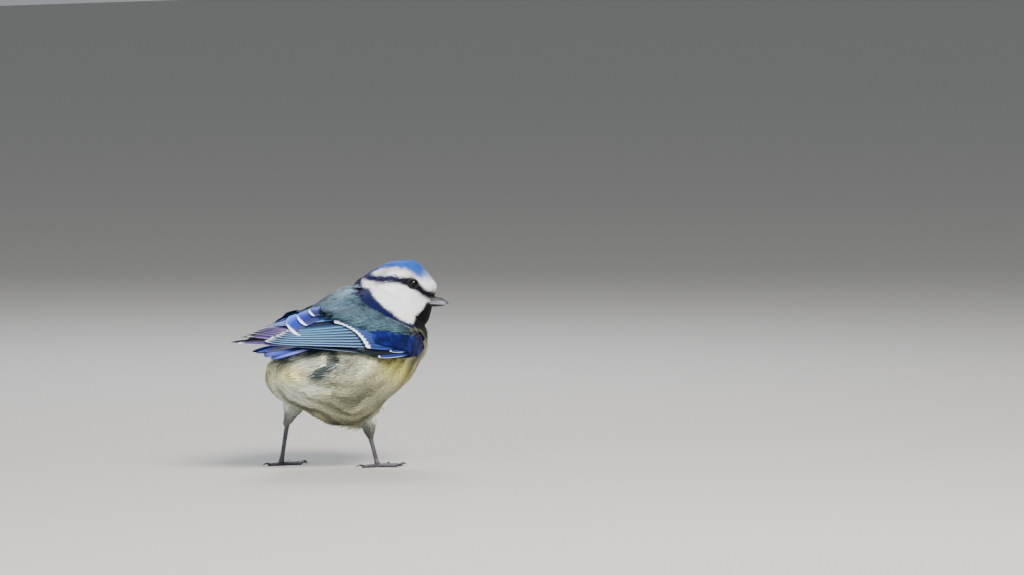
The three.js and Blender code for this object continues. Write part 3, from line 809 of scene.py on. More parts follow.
class Plumes:
    """Gathers vanes into one mesh with a colour and a place along and across its vane at each vertex."""

    def __init__(self):
        self.points, self.faces, self.colours, self.places, self.count = [], [], [], [], 0

    def add(self, middle, out, shaft, t, tint):
        """Adds a vane given by its middle sheet, thin at its edges and thicker along the shaft."""
        columns = VANE_ACROSS
        n, m = middle.shape[:2]
        thick = VANE_THICK * np.maximum(1 - np.abs(columns), 0.12)[None] * (1 - 0.7 * t)[:, None]
        quill = 0.05 * np.exp(-(((columns - shaft) / 0.1) ** 2))[None] * (1 - t)[:, None]
        top = middle + out[:, None] * (thick / 2 + quill)[..., None]
        low = middle - out[:, None] * (thick / 2)[..., None]
        t_grid = np.repeat(t[:, None], m, 1)
        v_grid = np.repeat(columns[None], n, 0)
        upper = tint(t_grid.ravel(), v_grid.ravel(), middle.reshape(-1, 3))
        index = np.arange(n * m).reshape(n, m) + self.count
        quads = np.stack([index[:-1, :-1], index[:-1, 1:], index[1:, 1:], index[1:, :-1]], -1).reshape(-1, 4)
        inward = np.dot(np.cross(top[0, 2] - top[0, 1], top[1, 1] - top[0, 1]), out[0]) < 0
        if inward:
            quads = quads[:, ::-1]
        below = quads[:, ::-1] + n * m
        rim = np.concatenate([index[0, :-1], index[:-1, -1], index[-1, :0:-1], index[:0:-1, 0]])
        beyond = np.roll(rim, -1)
        walls = np.stack([beyond, rim, rim + n * m, beyond + n * m], -1)
        if inward:
            walls = walls[:, ::-1]
        self.faces += quads.tolist() + below.tolist() + walls[:, ::-1].tolist()
        self.points += [top.reshape(-1, 3), low.reshape(-1, 3)]
        self.colours += [upper, upper * 0.8]
        place = np.stack([t_grid.ravel(), v_grid.ravel(), np.full(n * m, self.count * 0.37 % 10)], -1)
        self.places += [place, place]
        self.count += 2 * n * m

    def build(self, name, mirrored):
        """One object of all the vanes, on the right side or mirrored to the left."""
        points = np.concatenate(self.points)
        faces = self.faces
        if mirrored:
            points = left_side(points)
            faces = [face[::-1] for face in faces]
        made = mesh_object(name, points, faces)
        set_point_colour(made, "plumage", np.concatenate(self.colours))
        set_point_values(made, "vane_place", np.concatenate(self.places))
        return made


def left_side(points):
    """The same points on the left wing, whose ridge lies a little lower behind the back."""
    sink = 1.7 * smoothstep(-2, -14, points[:, 0]) * smoothstep(44, 53, points[:, 2])
    return points * (1, -1, 1) - sink[:, None] * (0, 0, 1)


def feather_stations(count):
    """Shares of a feather's length, closer together towards its tip."""
    return 1 - (1 - np.linspace(0, 1, count)) ** 1.5


def vane_reach(half, slope, camber, shaft):
    """How far each column of a vane lies from the shaft, and how high it stands."""
    reach = (VANE_ACROSS - shaft)[None] * half[:, None]
    return reach, -slope * reach + camber * half[:, None] * (1 - VANE_ACROSS**2)[None]


def wing_vane(plumes, root, tip, width, slope, camber, shaft, bend, outline, tint, stations):
    """Adds a vane draped over the shell; root and tip are place along the body, height and lift."""
    t = feather_stations(stations)
    x = root[0] + (tip[0] - root[0]) * t
    z = root[1] + (tip[1] - root[1]) * t + bend * 4 * t * (1 - t)
    lift = root[2] + (tip[2] - root[2]) * t
    line, out, up = shell_frame(x, z, lift)
    ahead = np.gradient(line, axis=0)
    across = np.cross(ahead, out)
    across /= np.linalg.norm(across, axis=1)[:, None]
    reach, stand = vane_reach(width / 2 * np.interp(t, *outline), slope, camber, shaft)
    rise = (across * up).sum(1) * up[:, 2]
    beyond, level = x[:, None] + reach * across[:, :1], z[:, None] + reach * rise[:, None]
    widest, ridge = shell_at(beyond.ravel())[:, 1:].T
    level = np.minimum(level.ravel(), widest + 0.97 * (ridge - widest))
    middle = shell_frame(beyond.ravel(), level, (lift[:, None] + stand).ravel())[0]
    plumes.add(middle.reshape(len(t), -1, 3), out, shaft, t, tint)


def row_of(count, first_root, first_tip, last_root, last_tip, power):
    """Roots and tips from a row's first feather to its last; a power under 1 bares more of the first."""
    for i in range(count):
        share = (i / (count - 1)) ** power
        root = [a + (b - a) * share for a, b in zip(first_root, last_root)]
        tip = [a + (b - a) * share for a, b in zip(first_tip, last_tip)]
        yield share, root, tip


def banded(v, stops):
    """Colour across a vane from stops of place and hex colour."""
    places = [s[0] for s in stops]
    values = np.array([hue(s[1]) for s in stops])
    return np.stack([np.interp(v, places, values[:, k]) for k in range(3)], -1)


PRIMARY_FRONT = [(-1, "6F97AE"), (-0.92, "4F7894"), (-0.84, "141A34"), (-0.2, "0C1022"), (1, "1A1C2C")]
PRIMARY_REAR = [
    (-1, "E2DCE6"), (-0.95, "A69ABC"), (-0.88, "4E427A"), (-0.1, "3A3066"), (0.4, "1E1838"), (1, "141024"),
]
SECONDARY_LOW = [
    (-1, "9CC4E0"), (-0.94, "6A9CC4"), (-0.86, "30608E"), (-0.76, "12203E"), (-0.1, "0C132A"), (1, "141A30"),
]
SECONDARY_HIGH = [
    (-1, "84B4D2"), (-0.92, "4780A6"), (-0.74, "2A5E80"), (-0.52, "183A5A"), (0.1, "101C38"), (1, "141A30"),
]
INNER_BAND = [(-1, "90B8EA"), (-0.86, "5C88CC"), (-0.74, "2A4890"), (-0.3, "16306C"), (1, "101C48")]
TERTIAL_BAND = [
    (-1, "3C4890"), (-0.75, "242C68"), (-0.1, "1C2560"), (0, "080C34"),
    (0.08, "0E2694"), (0.8, "1536B0"), (1, "5C8CE0"),
]
GREATER_BAND = [(-1, "2E5296"), (-0.8, "1A3478"), (-0.2, "0F1C4C"), (1, "101A3A")]


def primary_tint(t, v, points):
    """Slate with a blue edge in front, violet brown with a whitish edge at the free ends."""
    back = smoothstep(-22, -33, points[:, 0])
    colour = blended(banded(v, PRIMARY_FRONT), banded(v, PRIMARY_REAR), back)
    colour = blended(colour, hue("14141C"), smoothstep(-12, -2, points[:, 0]) * 0.7)
    return blended(colour, hue("E4E6EE"), smoothstep(0.965, 0.985, t) * 0.9)


def inner_tint(t, v, points):
    """Blue with a paler edge, where the last vanes show behind the tertials."""
    return banded(v, INNER_BAND)


def secondary_tint(share):
    """Pale blue edges on dark vanes, duller and wider in the upper rows; share runs up the row."""
    def tint(t, v, points):
        colour = banded(v, SECONDARY_LOW) * (1 - share) + banded(v, SECONDARY_HIGH) * share
        return blended(colour, hue("CBD3DC"), smoothstep(0.955, 0.985, t) * 0.8)

    return tint


def tertial_tint(shade):
    """Deep blue with a dark shaft and a white rim at the tip; shade darkens it."""
    def tint(t, v, points):
        colour = blended(banded(v, TERTIAL_BAND), hue("0C1248"), np.full(len(t), shade * 0.75))
        return blended(colour, hue("E9EDFB"), smoothstep(0.885, 0.905, t + 0.07 * v * v))

    return tint


def greater_covert_tint(share):
    """Dark blue, greener up the row, with the white tip that makes the bar across the wing."""
    def tint(t, v, points):
        green = np.full(len(t), smoothstep(0.45, 0.85, np.array(share)) * 0.7)
        colour = blended(banded(v, GREATER_BAND), hue("3E6A80"), green)
        return blended(colour, hue("F4F6FD"), smoothstep(0.84, 0.87, t + 0.01 * v))

    return tint


def hand_covert_tint(t, v, points):
    """Blackish with a dull green rim."""
    colour = np.repeat(hue("0A1114")[None], len(t), 0)
    colour = blended(colour, hue("141C52"), smoothstep(0.5, 0.0, t) * 0.6)
    rim = np.maximum(smoothstep(0.72, 0.95, t), smoothstep(0.6, 1.0, np.abs(v)) * 0.8)
    return blended(colour, hue("18292F"), rim * 0.85)


def alula_tint(t, v, points):
    """Blue and blackish webs with a thin white outer edge near the tip."""
    colour = np.repeat(hue("1B2A78")[None], len(t), 0)
    colour = blended(colour, hue("0F1330"), smoothstep(-0.2, 0.6, v))
    edge = smoothstep(-0.82, -0.92, v) * smoothstep(0.35, 0.5, t) + smoothstep(0.94, 0.98, t)
    return blended(colour, hue("DDE6F6"), np.clip(edge, 0, 1) * 0.9)


# Lower edge of the back feathers that lie over the wing: places along the body and heights on the shell.
SCAPULAR_EDGE = ((-18, -12.8, -6.7, -1.6, 3.9, 10.9, 18.4), (51.6, 50.8, 48.9, 47.5, 46.9, 45.7, 44.4))
# The three tertials hang from the back across the stacked flight feathers: root, tip, width and how dark.
TERTIALS = [
    ((-21.5, 52.8, 0.2), (-28.6, 47.7, 1.2), 6.4, 0.0),
    ((-17.6, 53.9, 0.6), (-25.0, 50.4, 1.6), 5.2, 0.55),
    ((-14.6, 54.6, 1.0), (-20.8, 52.8, 2.0), 4.2, 0.8),
]
# The feathered arm: place along the body, and the heights of its lower and upper edge on the shell.
ARM_EDGE = [
    (-13, 46.5, 54.5),
    (-6, 42.6, 54.8),
    (2, 39.8, 53.6),
    (10, 38.4, 50.6),
    (17, 38.7, 47.6),
    (21, 40.2, 45.4),
    (22.4, 41.6, 43.8),
]


ARM_COLUMNS = 15


def arm_rings():
    """The feathered arm: a lens of downy skin on the shell that carries the roots of the wing's feathers."""
    x = -13 + 35.4 * np.sin(np.pi / 2 * np.linspace(0, 1, 26))
    low, high = table_curve(ARM_EDGE)(x).T
    swell = np.sin(np.pi * (np.arange(ARM_COLUMNS) + 0.8) / (ARM_COLUMNS + 0.6))
    rings = []
    for i in range(len(x)):
        thin = 1.9 * min(1, (22.9 - x[i]) / 4) * min(1, (x[i] + 14.5) / 6)
        z = np.linspace(low[i], high[i], ARM_COLUMNS)
        outer = shell_frame(np.full(ARM_COLUMNS, x[i]), z, 0.4 + thin * swell * 0.75)[0]
        inner = shell_frame(np.full(ARM_COLUMNS, x[i]), z, 0.2 - thin * swell * 0.7)[0][::-1]
        rings.append(np.concatenate([outer, inner]))
    return np.array(rings)


def flight_plumes():
    """Nine primaries, five vanes behind the tertials, eight secondaries and the three tertials over them."""
    plumes = Plumes()
    rng = np.random.default_rng(41)
    rows = row_of(9, (8, 38.9, 0.1), (-47.4, 45.1, -0.4), (3, 44.5, 0.7), (-34.2, 49.9, 0.4), 0.6)
    for share, root, tip in rows:
        tip[1] += 4 * share * (1 - share)
        wing_vane(plumes, root, tip, 2.6, 0.45, 0.08, -0.45, 1.1 - 1.3 * share, LONG_TIP, primary_tint, 22)
    rows = row_of(5, (-8, 52.5, 0.4), (-32.5, 49.9, 0.5), (-13, 55.2, -0.3), (-36.0, 49.6, 0.2), 1.0)
    for share, root, tip in rows:
        wing_vane(plumes, root, tip, 2.6, 0.3, 0.08, -0.45, 0.3, LONG_TIP, inner_tint, 18)
    rows = row_of(8, (3, 43.0, 1.0), (-38.4, 45.4, 0.6), (-4, 50.4, 1.3), (-29, 48.6, 1.0), 1.0)
    for share, root, tip in rows:
        tip[0] += rng.uniform(-0.4, 0.4)
        wing_vane(plumes, root, tip, 3.0, 0.42, 0.1, -0.3, 0.0, ROUND_TIP, secondary_tint(share), 20)
    for root, tip, width, shade in TERTIALS:
        wing_vane(plumes, root, tip, width, 0.06, 0.12, -0.05, 0.0, BROAD_TIP, tertial_tint(shade), 24)
    return plumes


def covert_plumes():
    """Six hand coverts, eleven greater coverts in a row that bulges in the middle, and two alula vanes."""
    plumes = Plumes()
    rows = row_of(6, (17, 39.0, 0.9), (-3, 39.4, 0.7), (14, 41.4, 1.4), (-8.5, 41.9, 1.3), 1.0)
    for share, root, tip in rows:
        wing_vane(plumes, root, tip, 1.9, 0.35, 0.1, -0.2, 0.1, LONG_TIP, hand_covert_tint, 14)
    rows = row_of(11, (6, 42.6, 1.6), (-5.9, 43.5, 2.1), (-1, 50.8, 1.5), (-14.6, 50.5, 2.0), 1.0)
    for share, root, tip in rows:
        bulge = 4 * share * (1 - share)
        tip = (tip[0] + 0.9 * bulge, tip[1] + 1.3 * bulge, tip[2])
        width, tint = 2.8 - 0.9 * share, greater_covert_tint(share)
        wing_vane(plumes, root, tip, width, 0.3, 0.12, -0.1, -0.2, BLUNT_TIP, tint, 18)
    rows = row_of(2, (17, 40.3, 1.6), (-0.9, 39.3, 1.2), (17, 41.6, 1.9), (3.5, 41.0, 1.7), 1.0)
    for share, root, tip in rows:
        wing_vane(plumes, root, tip, 2.0, 0.25, 0.12, -0.2, 0.0, LONG_TIP, alula_tint, 14)
    return plumes


# Keratin of the vanes: barbs zipped into a smooth web that gives a faint satin light across the shaft.
# The barb lines are drawn several times coarser than the real ones, which are too fine to show.
vane_material, vane_shader = material("vane_keratin", "FFFFFF", 0.55)
vane_tree = vane_material.node_tree
vane_tint = add_node(vane_tree, "ShaderNodeAttribute", {"attribute_name": "plumage"})
vane_tree.links.new(vane_tint.outputs["Color"], vane_shader.inputs["Base Color"])
vane_shader.inputs["Specular IOR Level"].default_value = 0.2
vane_place = add_node(vane_tree, "ShaderNodeAttribute", {"attribute_name": "vane_place"})
barb_lines = add_node(
    vane_tree,
    "ShaderNodeTexWave",
    {"wave_type": "BANDS", "bands_direction": "DIAGONAL"},
    {"Vector": vane_place.outputs["Vector"], "Scale": 9.0, "Distortion": 1.2, "Detail": 1.0},
)
barb_ends = {"Height": barb_lines.outputs["Fac"], "Strength": 0.25, "Distance": 0.00004}
barb_relief = add_node(vane_tree, "ShaderNodeBump", inputs=barb_ends)
vane_tree.links.new(barb_relief.outputs["Normal"], vane_shader.inputs["Normal"])

arm_points, arm_faces = ring_mesh(arm_rings())
for mirrored, side in ((False, "right"), (True, "left")):
    arm = mesh_object(
        "arm_" + side,
        left_side(arm_points) if mirrored else arm_points,
        [face[::-1] for face in arm_faces] if not mirrored else arm_faces,
    )
    deep = np.repeat(hue("16225E")[None], len(arm_points), 0)
    set_point_colour(arm, "plumage", blended(deep, hue("4B6670"), smoothstep(46, 49, arm_points[:, 2])))
    quills = flight_plumes().build("flight_feathers_" + side, mirrored)
    coverts = covert_plumes().build("wing_coverts_" + side, mirrored)
    for piece, finish in ((arm, skin_material), (quills, vane_material), (coverts, vane_material)):
        piece.data.materials.append(finish)
        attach(piece, "root")
        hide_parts("wing_" + side)

# Tail: twelve vanes in a closed fan, the middle pair on top, rooted in the rump and lifted a little.
# They are the same keratin as the wing's, blue above with darker inner webs.
TAIL_LENGTH = 30.5
# How far each pair of tail feathers stands from the middle of the closed fan at its tip.
TAIL_FAN = (0.9, 1.3, 1.7, 2.2, 4.7, 5.1)
TAIL_BAND = [
    (-1, "10143C"), (-0.93, "3A56CC"), (-0.7, "2340B4"), (-0.35, "162C8C"), (0.1, "0C1240"), (1, "0A0E30"),
]


def tail_tint(rank):
    """Deep blue with a painted sheen, a lighter band along the outer web; the outermost pair is edged with
    black as painted shadow, and the tips are darkened as painted shade.
    """
    def tint(t, v, points):
        # sheen: a painted highlight along the outer web, growing towards the tip
        sheen = smoothstep(0.2, 0.04, np.abs(v + 0.6)) * smoothstep(0.2, 0.6, t) * 0.6
        colour = blended(banded(v, TAIL_BAND), hue("5A70D8"), sheen)
        # painted shadow: a black outer edge on the outermost pair, for the dark line of shade along the
        # tail's lower edge
        if rank == 5:
            colour = blended(colour, hue("06070F"), smoothstep(-0.72, -0.86, v))
        # painted shade: the tips darkened along the tail's end
        return blended(colour, hue("1A1F4C"), smoothstep(0.88, 1.0, t) * 0.6)

    return tint


def tail_plumes():
    """Six pairs from the outermost up to the middle pair, which lies on top; every vane droops at its tip."""
    plumes = Plumes()
    t = feather_stations(20)
    for rank in range(5, -1, -1):
        for side in (1, -1):
            along = TAIL_LENGTH * t * (1 - 0.02 * abs(rank - 2.5))
            away = side * TAIL_FAN[rank] * (0.45 + 0.55 * t)
            level = np.full(len(t), 1.8 - rank * 0.22 - side * 0.1)
            across = tail_place(along, away - side * 0.01, level)
            across -= tail_place(along, away + side * 0.01, level)
            across /= np.linalg.norm(across, axis=1)[:, None]
            above = tail_place(along, away, level + 1) - tail_place(along, away, level)
            reach, stand = vane_reach(2.6 * np.interp(t, *ROUND_TIP), 0.0, 0.06, -0.25)
            line = tail_place(along, away, level - 2.7 * t * t)
            middle = line[:, None] + across[:, None] * reach[..., None] + above[:, None] * stand[..., None]
            plumes.add(middle, above, -0.25, t, tail_tint(rank))
    return plumes


tail = tail_plumes().build("tail_feathers", False)
tail.data.materials.append(vane_material)
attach(tail, "root")
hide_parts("tail")

# Legs: a shank in loose whitish feathers, then the bare tarsus of bone and tendon under dark grey scales,
# with three toes forward and one back, each padded at its joints and ending in a curved claw.
TOE_RADIUS = 0.72
LEGS = {
    "right": {
        "hip": (5.4, -6.5, 22),
        "knee": (4.4, -7.4, 17),
        "ankle": (5.0, -8.0, 10.6),
        "foot": (5.8, -11.0, 1.3),
        "yaw": -0.1,
    },
    "left": {
        "hip": (-13.5, 7.0, 27.5),
        "knee": (-15.6, 8.6, 21.5),
        "ankle": (-17.2, 10.4, 15.0),
        "foot": (-16.0, 15.5, 1.3),
        "yaw": 0.1,
    },
}
# Each toe's turn from the foot's own direction, its length, its joints, and how far its claw reaches.
TOES = [(0.0, 9.5, 5, 2.7), (0.55, 7.5, 4, 2.5), (-0.5, 7.0, 4, 2.5), (math.pi, 5.8, 3, 3.0)]
# Shares of the tarsus's length with its radius there, from the ankle down.
TARSUS_RADII = ((0, 0.12, 0.5, 0.85, 1), (0.95, 0.78, 0.7, 0.72, 0.98))
# Radii of the shank at the hip, the knee, below the knee and at the ankle.
SHANK_RADII = (2.3, 2.5, 1.3, 0.7)
# How many plates run down the front of the tarsus.
PLATES = 9


def rod_mesh(path, radii, sides):
    """A closed round bar along a path of points with a radius at each."""
    path = np.asarray(path, float)
    tangent = np.gradient(path, axis=0)
    tangent /= np.linalg.norm(tangent, axis=1)[:, None]
    side = np.cross((0, 0, 1.0), tangent[0])
    if np.linalg.norm(side) < 0.1:
        side = np.array((0, 1.0, 0))
    rings = []
    for point, along, radius in zip(path, tangent, radii):
        side = side - along * np.dot(side, along)
        side /= np.linalg.norm(side)
        up = np.cross(along, side)
        t = np.linspace(0, 2 * np.pi, sides, endpoint=False)
        rings.append(point + radius * (np.cos(t)[:, None] * side + np.sin(t)[:, None] * up))
    return ring_mesh(np.array(rings))


def toe_meshes(heel, yaw, length, joints, reach):
    """A toe with a pad at each joint and plates above, and its claw."""
    t = np.linspace(0, 1, 28)
    pads = 0.1 * np.cos(2 * np.pi * joints * t) * np.minimum(1, 3 * t)
    radii = TOE_RADIUS * (1 + pads + 0.03 * np.sin(2 * np.pi * joints * 4 * t)) * (1 - 0.24 * t)
    ahead = np.array((math.cos(yaw), math.sin(yaw), 0))
    path = np.array(heel) * (1, 1, 0) + ahead * (length * t)[:, None]
    path[:, 2] = 0.62 - 0.06 * t
    path[:, 2] = np.maximum(path[:, 2], radii * 0.86)
    toe = rod_mesh(path, radii, 14)
    s = np.linspace(0, 1, 10)
    claw = np.array(heel) * (1, 1, 0) + ahead * (length - 0.3 + (reach + 0.3) * s)[:, None]
    claw[:, 2] = 0.62 + 0.55 * np.sin(np.pi * np.minimum(1, s * 1.15) * 0.8) - 0.5 * s**2
    return toe, rod_mesh(claw, 0.42 * (1 - s) ** 0.7 + 0.035, 10)


# Scales of the leg: small keratin plates, dry and slightly waxy, mottled grey with darker joints between.
# The cells are 0.8 mm across, near the size of the real plates.
scale_material, scale_shader = material("leg_scale_keratin", "565768", 0.5, IOR=1.55)
scale_tree = scale_material.node_tree
body_place = add_node(scale_tree, "ShaderNodeTexCoord").outputs["Object"]
plates = {"Vector": body_place, "Scale": 1300.0}
scale_cells = add_node(scale_tree, "ShaderNodeTexVoronoi", {"feature": "DISTANCE_TO_EDGE"}, plates)
scale_relief = add_node(
    scale_tree,
    "ShaderNodeBump",
    inputs={"Height": scale_cells.outputs["Distance"], "Strength": 0.5, "Distance": 0.00006},
)
scale_noise = add_node(scale_tree, "ShaderNodeTexNoise", inputs={"Vector": body_place, "Scale": 500.0})
scale_mix = add_node(scale_tree, "ShaderNodeValToRGB", inputs={"Fac": scale_noise.outputs["Fac"]})
for stop, place, colour in zip(scale_mix.color_ramp.elements, (0.35, 0.7), ("201F26", "4A4850")):
    stop.position = place
    stop.color = linear(colour)
scale_tree.links.new(scale_relief.outputs["Normal"], scale_shader.inputs["Normal"])
scale_tree.links.new(scale_mix.outputs["Color"], scale_shader.inputs["Base Color"])
# Claw: smooth dark horn with a clear highlight on its curve.
claw_material, _ = material("claw_horn", "17151A", 0.3, IOR=1.55)
shank_skins = {}
for side, leg in LEGS.items():
    foot, ankle = np.array(leg["foot"], float), np.array(leg["ankle"], float)
    t = np.linspace(0, 1, 40)
    path = ankle + (foot - ankle) * t[:, None]
    path = np.concatenate([path, [(foot[0], foot[1], 0.35)]])
    radii = np.interp(t, *TARSUS_RADII) * (1 + 0.045 * np.abs(np.sin(np.pi * PLATES * t)))
    tarsus = rod_mesh(path, np.append(radii, 0.6), 16)
    toes, claws = zip(*[toe_meshes(foot, leg["yaw"] + toe_turn, *toe) for toe_turn, *toe in TOES])
    bare = joined_mesh("tarsus_and_toes_" + side, [tarsus, *toes])
    bare.data.materials.append(scale_material)
    nails = joined_mesh("claws_" + side, claws)
    nails.data.materials.append(claw_material)
    for piece in (bare, nails):
        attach(piece, "root")
        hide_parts("leg_" + side)
    hip, knee = np.array(leg["hip"], float), np.array(leg["knee"], float)
    middle = knee * 0.4 + ankle * 0.6
    stops = np.array([hip, knee, middle, ankle + (0, 0, 0.6)])
    place = np.linspace(0, 3, 22)
    path = np.stack([np.interp(place, range(4), stops[:, k]) for k in range(3)], -1)
    shank = mesh_object("shank_skin_" + side, *rod_mesh(path, np.interp(place, range(4), SHANK_RADII), 20))
    heights = mesh_points(shank)[:, 2]
    pale = np.repeat(TINT["vent"][None], len(heights), 0)
    grey = smoothstep(knee[2] + 3, ankle[2] + 2, heights) * 0.85
    down = (ankle - hip) / np.linalg.norm(ankle - hip)
    grow_ready(shank, blended(pale, hue("4C4847"), grey), np.repeat(down[None], len(heights), 0))
    shank.data.materials.append(skin_material)
    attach(shank, "root")
    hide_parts("shank_" + side)
    shank_skins[side] = shank

# Coat: small contour feathers and down in tufts along the lie, tight on the face and long and loose below.
# Each tuft is a fan of tapering barbs that grows from the skin and carries the colour at its root.
LOCK_WIDTH_MM = 1.7
LOCK_LENGTH_MM = 8.0
# Radius of the body over which the locks are counted out.
LOCK_ROUND_MM = 19


def lock_tone(points, seed=5):
    """Light and dark locks, 0 to 1: long patches drawn out along the lines from the bill to the tail."""
    axis = (TAIL_TIP - BILL_TIP) / np.linalg.norm(TAIL_TIP - BILL_TIP)
    side = np.cross(axis, (0, 0, 1.0))
    side /= np.linalg.norm(side)
    offset = points - BILL_TIP
    angle = np.arctan2(offset @ np.cross(axis, side), offset @ side) / (2 * np.pi) + 0.5
    count = int(2 * np.pi * LOCK_ROUND_MM / LOCK_WIDTH_MM)
    rng = np.random.default_rng(seed)
    table = rng.random((count, 40))
    across = angle * count + 0.6 * np.sin(offset @ axis / 3.1)
    i = np.floor(across).astype(int)
    along = np.clip(offset @ axis / LOCK_LENGTH_MM + 8 + rng.random(count)[i % count], 0, 38.9)
    j = np.floor(along).astype(int)
    f, g = across - i, along - j
    f, g = f * f * (3 - 2 * f), g * g * (3 - 2 * g)
    low = table[i % count, j] * (1 - g) + table[i % count, j + 1] * g
    high = table[(i + 1) % count, j] * (1 - g) + table[(i + 1) % count, j + 1] * g
    return np.clip((low * (1 - f) + high * f - 0.5) * 2.0 + 0.5, 0, 1)


def plumage_material(name, roughness, darker, contrast, sheen):
    """Feather keratin and down: the marking colour, darkened towards the roots as painted shade, varied from
    tuft to tuft.
    """
    soft = {"Sheen Weight": sheen, "Sheen Roughness": 0.5, "Specular IOR Level": 0.12}
    made, shader = material(name, "FFFFFF", roughness, **soft)
    tree = made.node_tree
    shade = None
    # along: painted shade, each blade darker towards its root and a little lighter at its tip; tone and barb:
    # light and dark from tuft to tuft and blade to blade
    for mark, low, high in (
        ("along", darker, 1.12),
        ("tone", 1 - contrast, 1 + contrast * 0.7),
        ("barb", 1 - contrast * 0.7, 1 + contrast * 0.45),
    ):
        read = add_node(tree, "ShaderNodeAttribute", {"attribute_name": mark}).outputs["Fac"]
        ends = {"Value": read, "To Min": low, "To Max": high}
        part = add_node(tree, "ShaderNodeMapRange", inputs=ends).outputs[0]
        if shade:
            part = add_node(tree, "ShaderNodeMath", {"operation": "MULTIPLY"}, {0: shade, 1: part}).outputs[0]
        shade = part
    colour = add_node(tree, "ShaderNodeAttribute", {"attribute_name": "plumage"}).outputs["Color"]
    scaled = add_node(tree, "ShaderNodeVectorMath", {"operation": "SCALE"}, {0: colour, "Scale": shade})
    tree.links.new(scaled.outputs[0], shader.inputs["Base Color"])
    return made


# Sleek crown: short glossy barbs with a soft edge light and clear streaks.
crown_feathers = plumage_material("crown_barbs", 0.6, 0.6, 0.45, 0.03)
# Face: very short dense barbs that look like plush, nearly even in tone.
face_feathers = plumage_material("short_face_barbs", 0.6, 0.85, 0.1, 0.03)
# Back: contour feathers whose barbs hang together in dull streaks.
back_feathers = plumage_material("contour_feather_barbs", 0.6, 0.5, 0.6, 0.04)
# Belly: long loose barbs and down, matte, light at the tips and shadowed between the locks.
loose_feathers = plumage_material("loose_belly_down", 0.75, 0.45, 0.8, 0.06)


def tuft(name, blades, length, spread, gather, width, lift, droop, segments, seed):
    """A lock of thin blades lying along +X and standing up along +Z, in millimetres.

    The blades start gather apart and close towards their tips, less their spread in radians.
    """
    rng = np.random.default_rng(seed)
    verts, tris, along, patch, barb = [], [], [], [], []
    for b in range(blades):
        share = 0.0 if blades == 1 else b / (blades - 1) - 0.5
        reach = length * (1 - 0.9 * share * share) * rng.uniform(0.88, 1.1)
        yaw = share * spread + rng.normal(0, 0.05)
        up = lift * rng.uniform(0.6, 1.35)
        glow = rng.random()
        base = len(verts)
        for s in range(segments + 1):
            t = s / segments
            forward = reach * t
            side = math.sin(yaw) * forward + share * (width + gather * (1 - 0.8 * t))
            height = up * math.sin(min(1.0, t * 1.25) * math.pi / 2) - droop * t * t + 0.02 * (b % 3)
            half = width * 0.5 * (1 - t) ** 0.55 * (0.75 + 0.5 * math.sin(math.pi * min(1, t + 0.25)))
            for e in ([side] if s == segments else [side - half, side + half]):
                verts.append((math.cos(yaw) * forward, e, height))
                along.append(t)
                barb.append(glow)
                patch.append((t, 0.5 + e / (spread * length + gather + width * 3), 0))
        for s in range(segments - 1):
            a = base + 2 * s
            tris += [(a, a + 2, a + 3), (a, a + 3, a + 1)]
        a = base + 2 * (segments - 1)
        tris.append((a, a + 2, a + 1))
    mesh = bpy.data.meshes.new(name)
    mesh.from_pydata([(x * MM, y * MM, z * MM) for x, y, z in verts], [], tris)
    mesh.polygons.foreach_set("use_smooth", [True] * len(mesh.polygons))
    mesh.update()
    made = bpy.data.objects.new(name, mesh)
    bpy.context.scene.collection.objects.link(made)
    for mark, values in (("along", along), ("barb", barb), ("patch", patch)):
        set_point_values(made, mark, values)
    return made


# Side of the small square that a tuft takes on the flat map.
PATCH_SIZE = 0.003
# How much of a tuft's tone comes from the lock that it lies in; the rest is its own.
LOCK_SHARE = 0.78


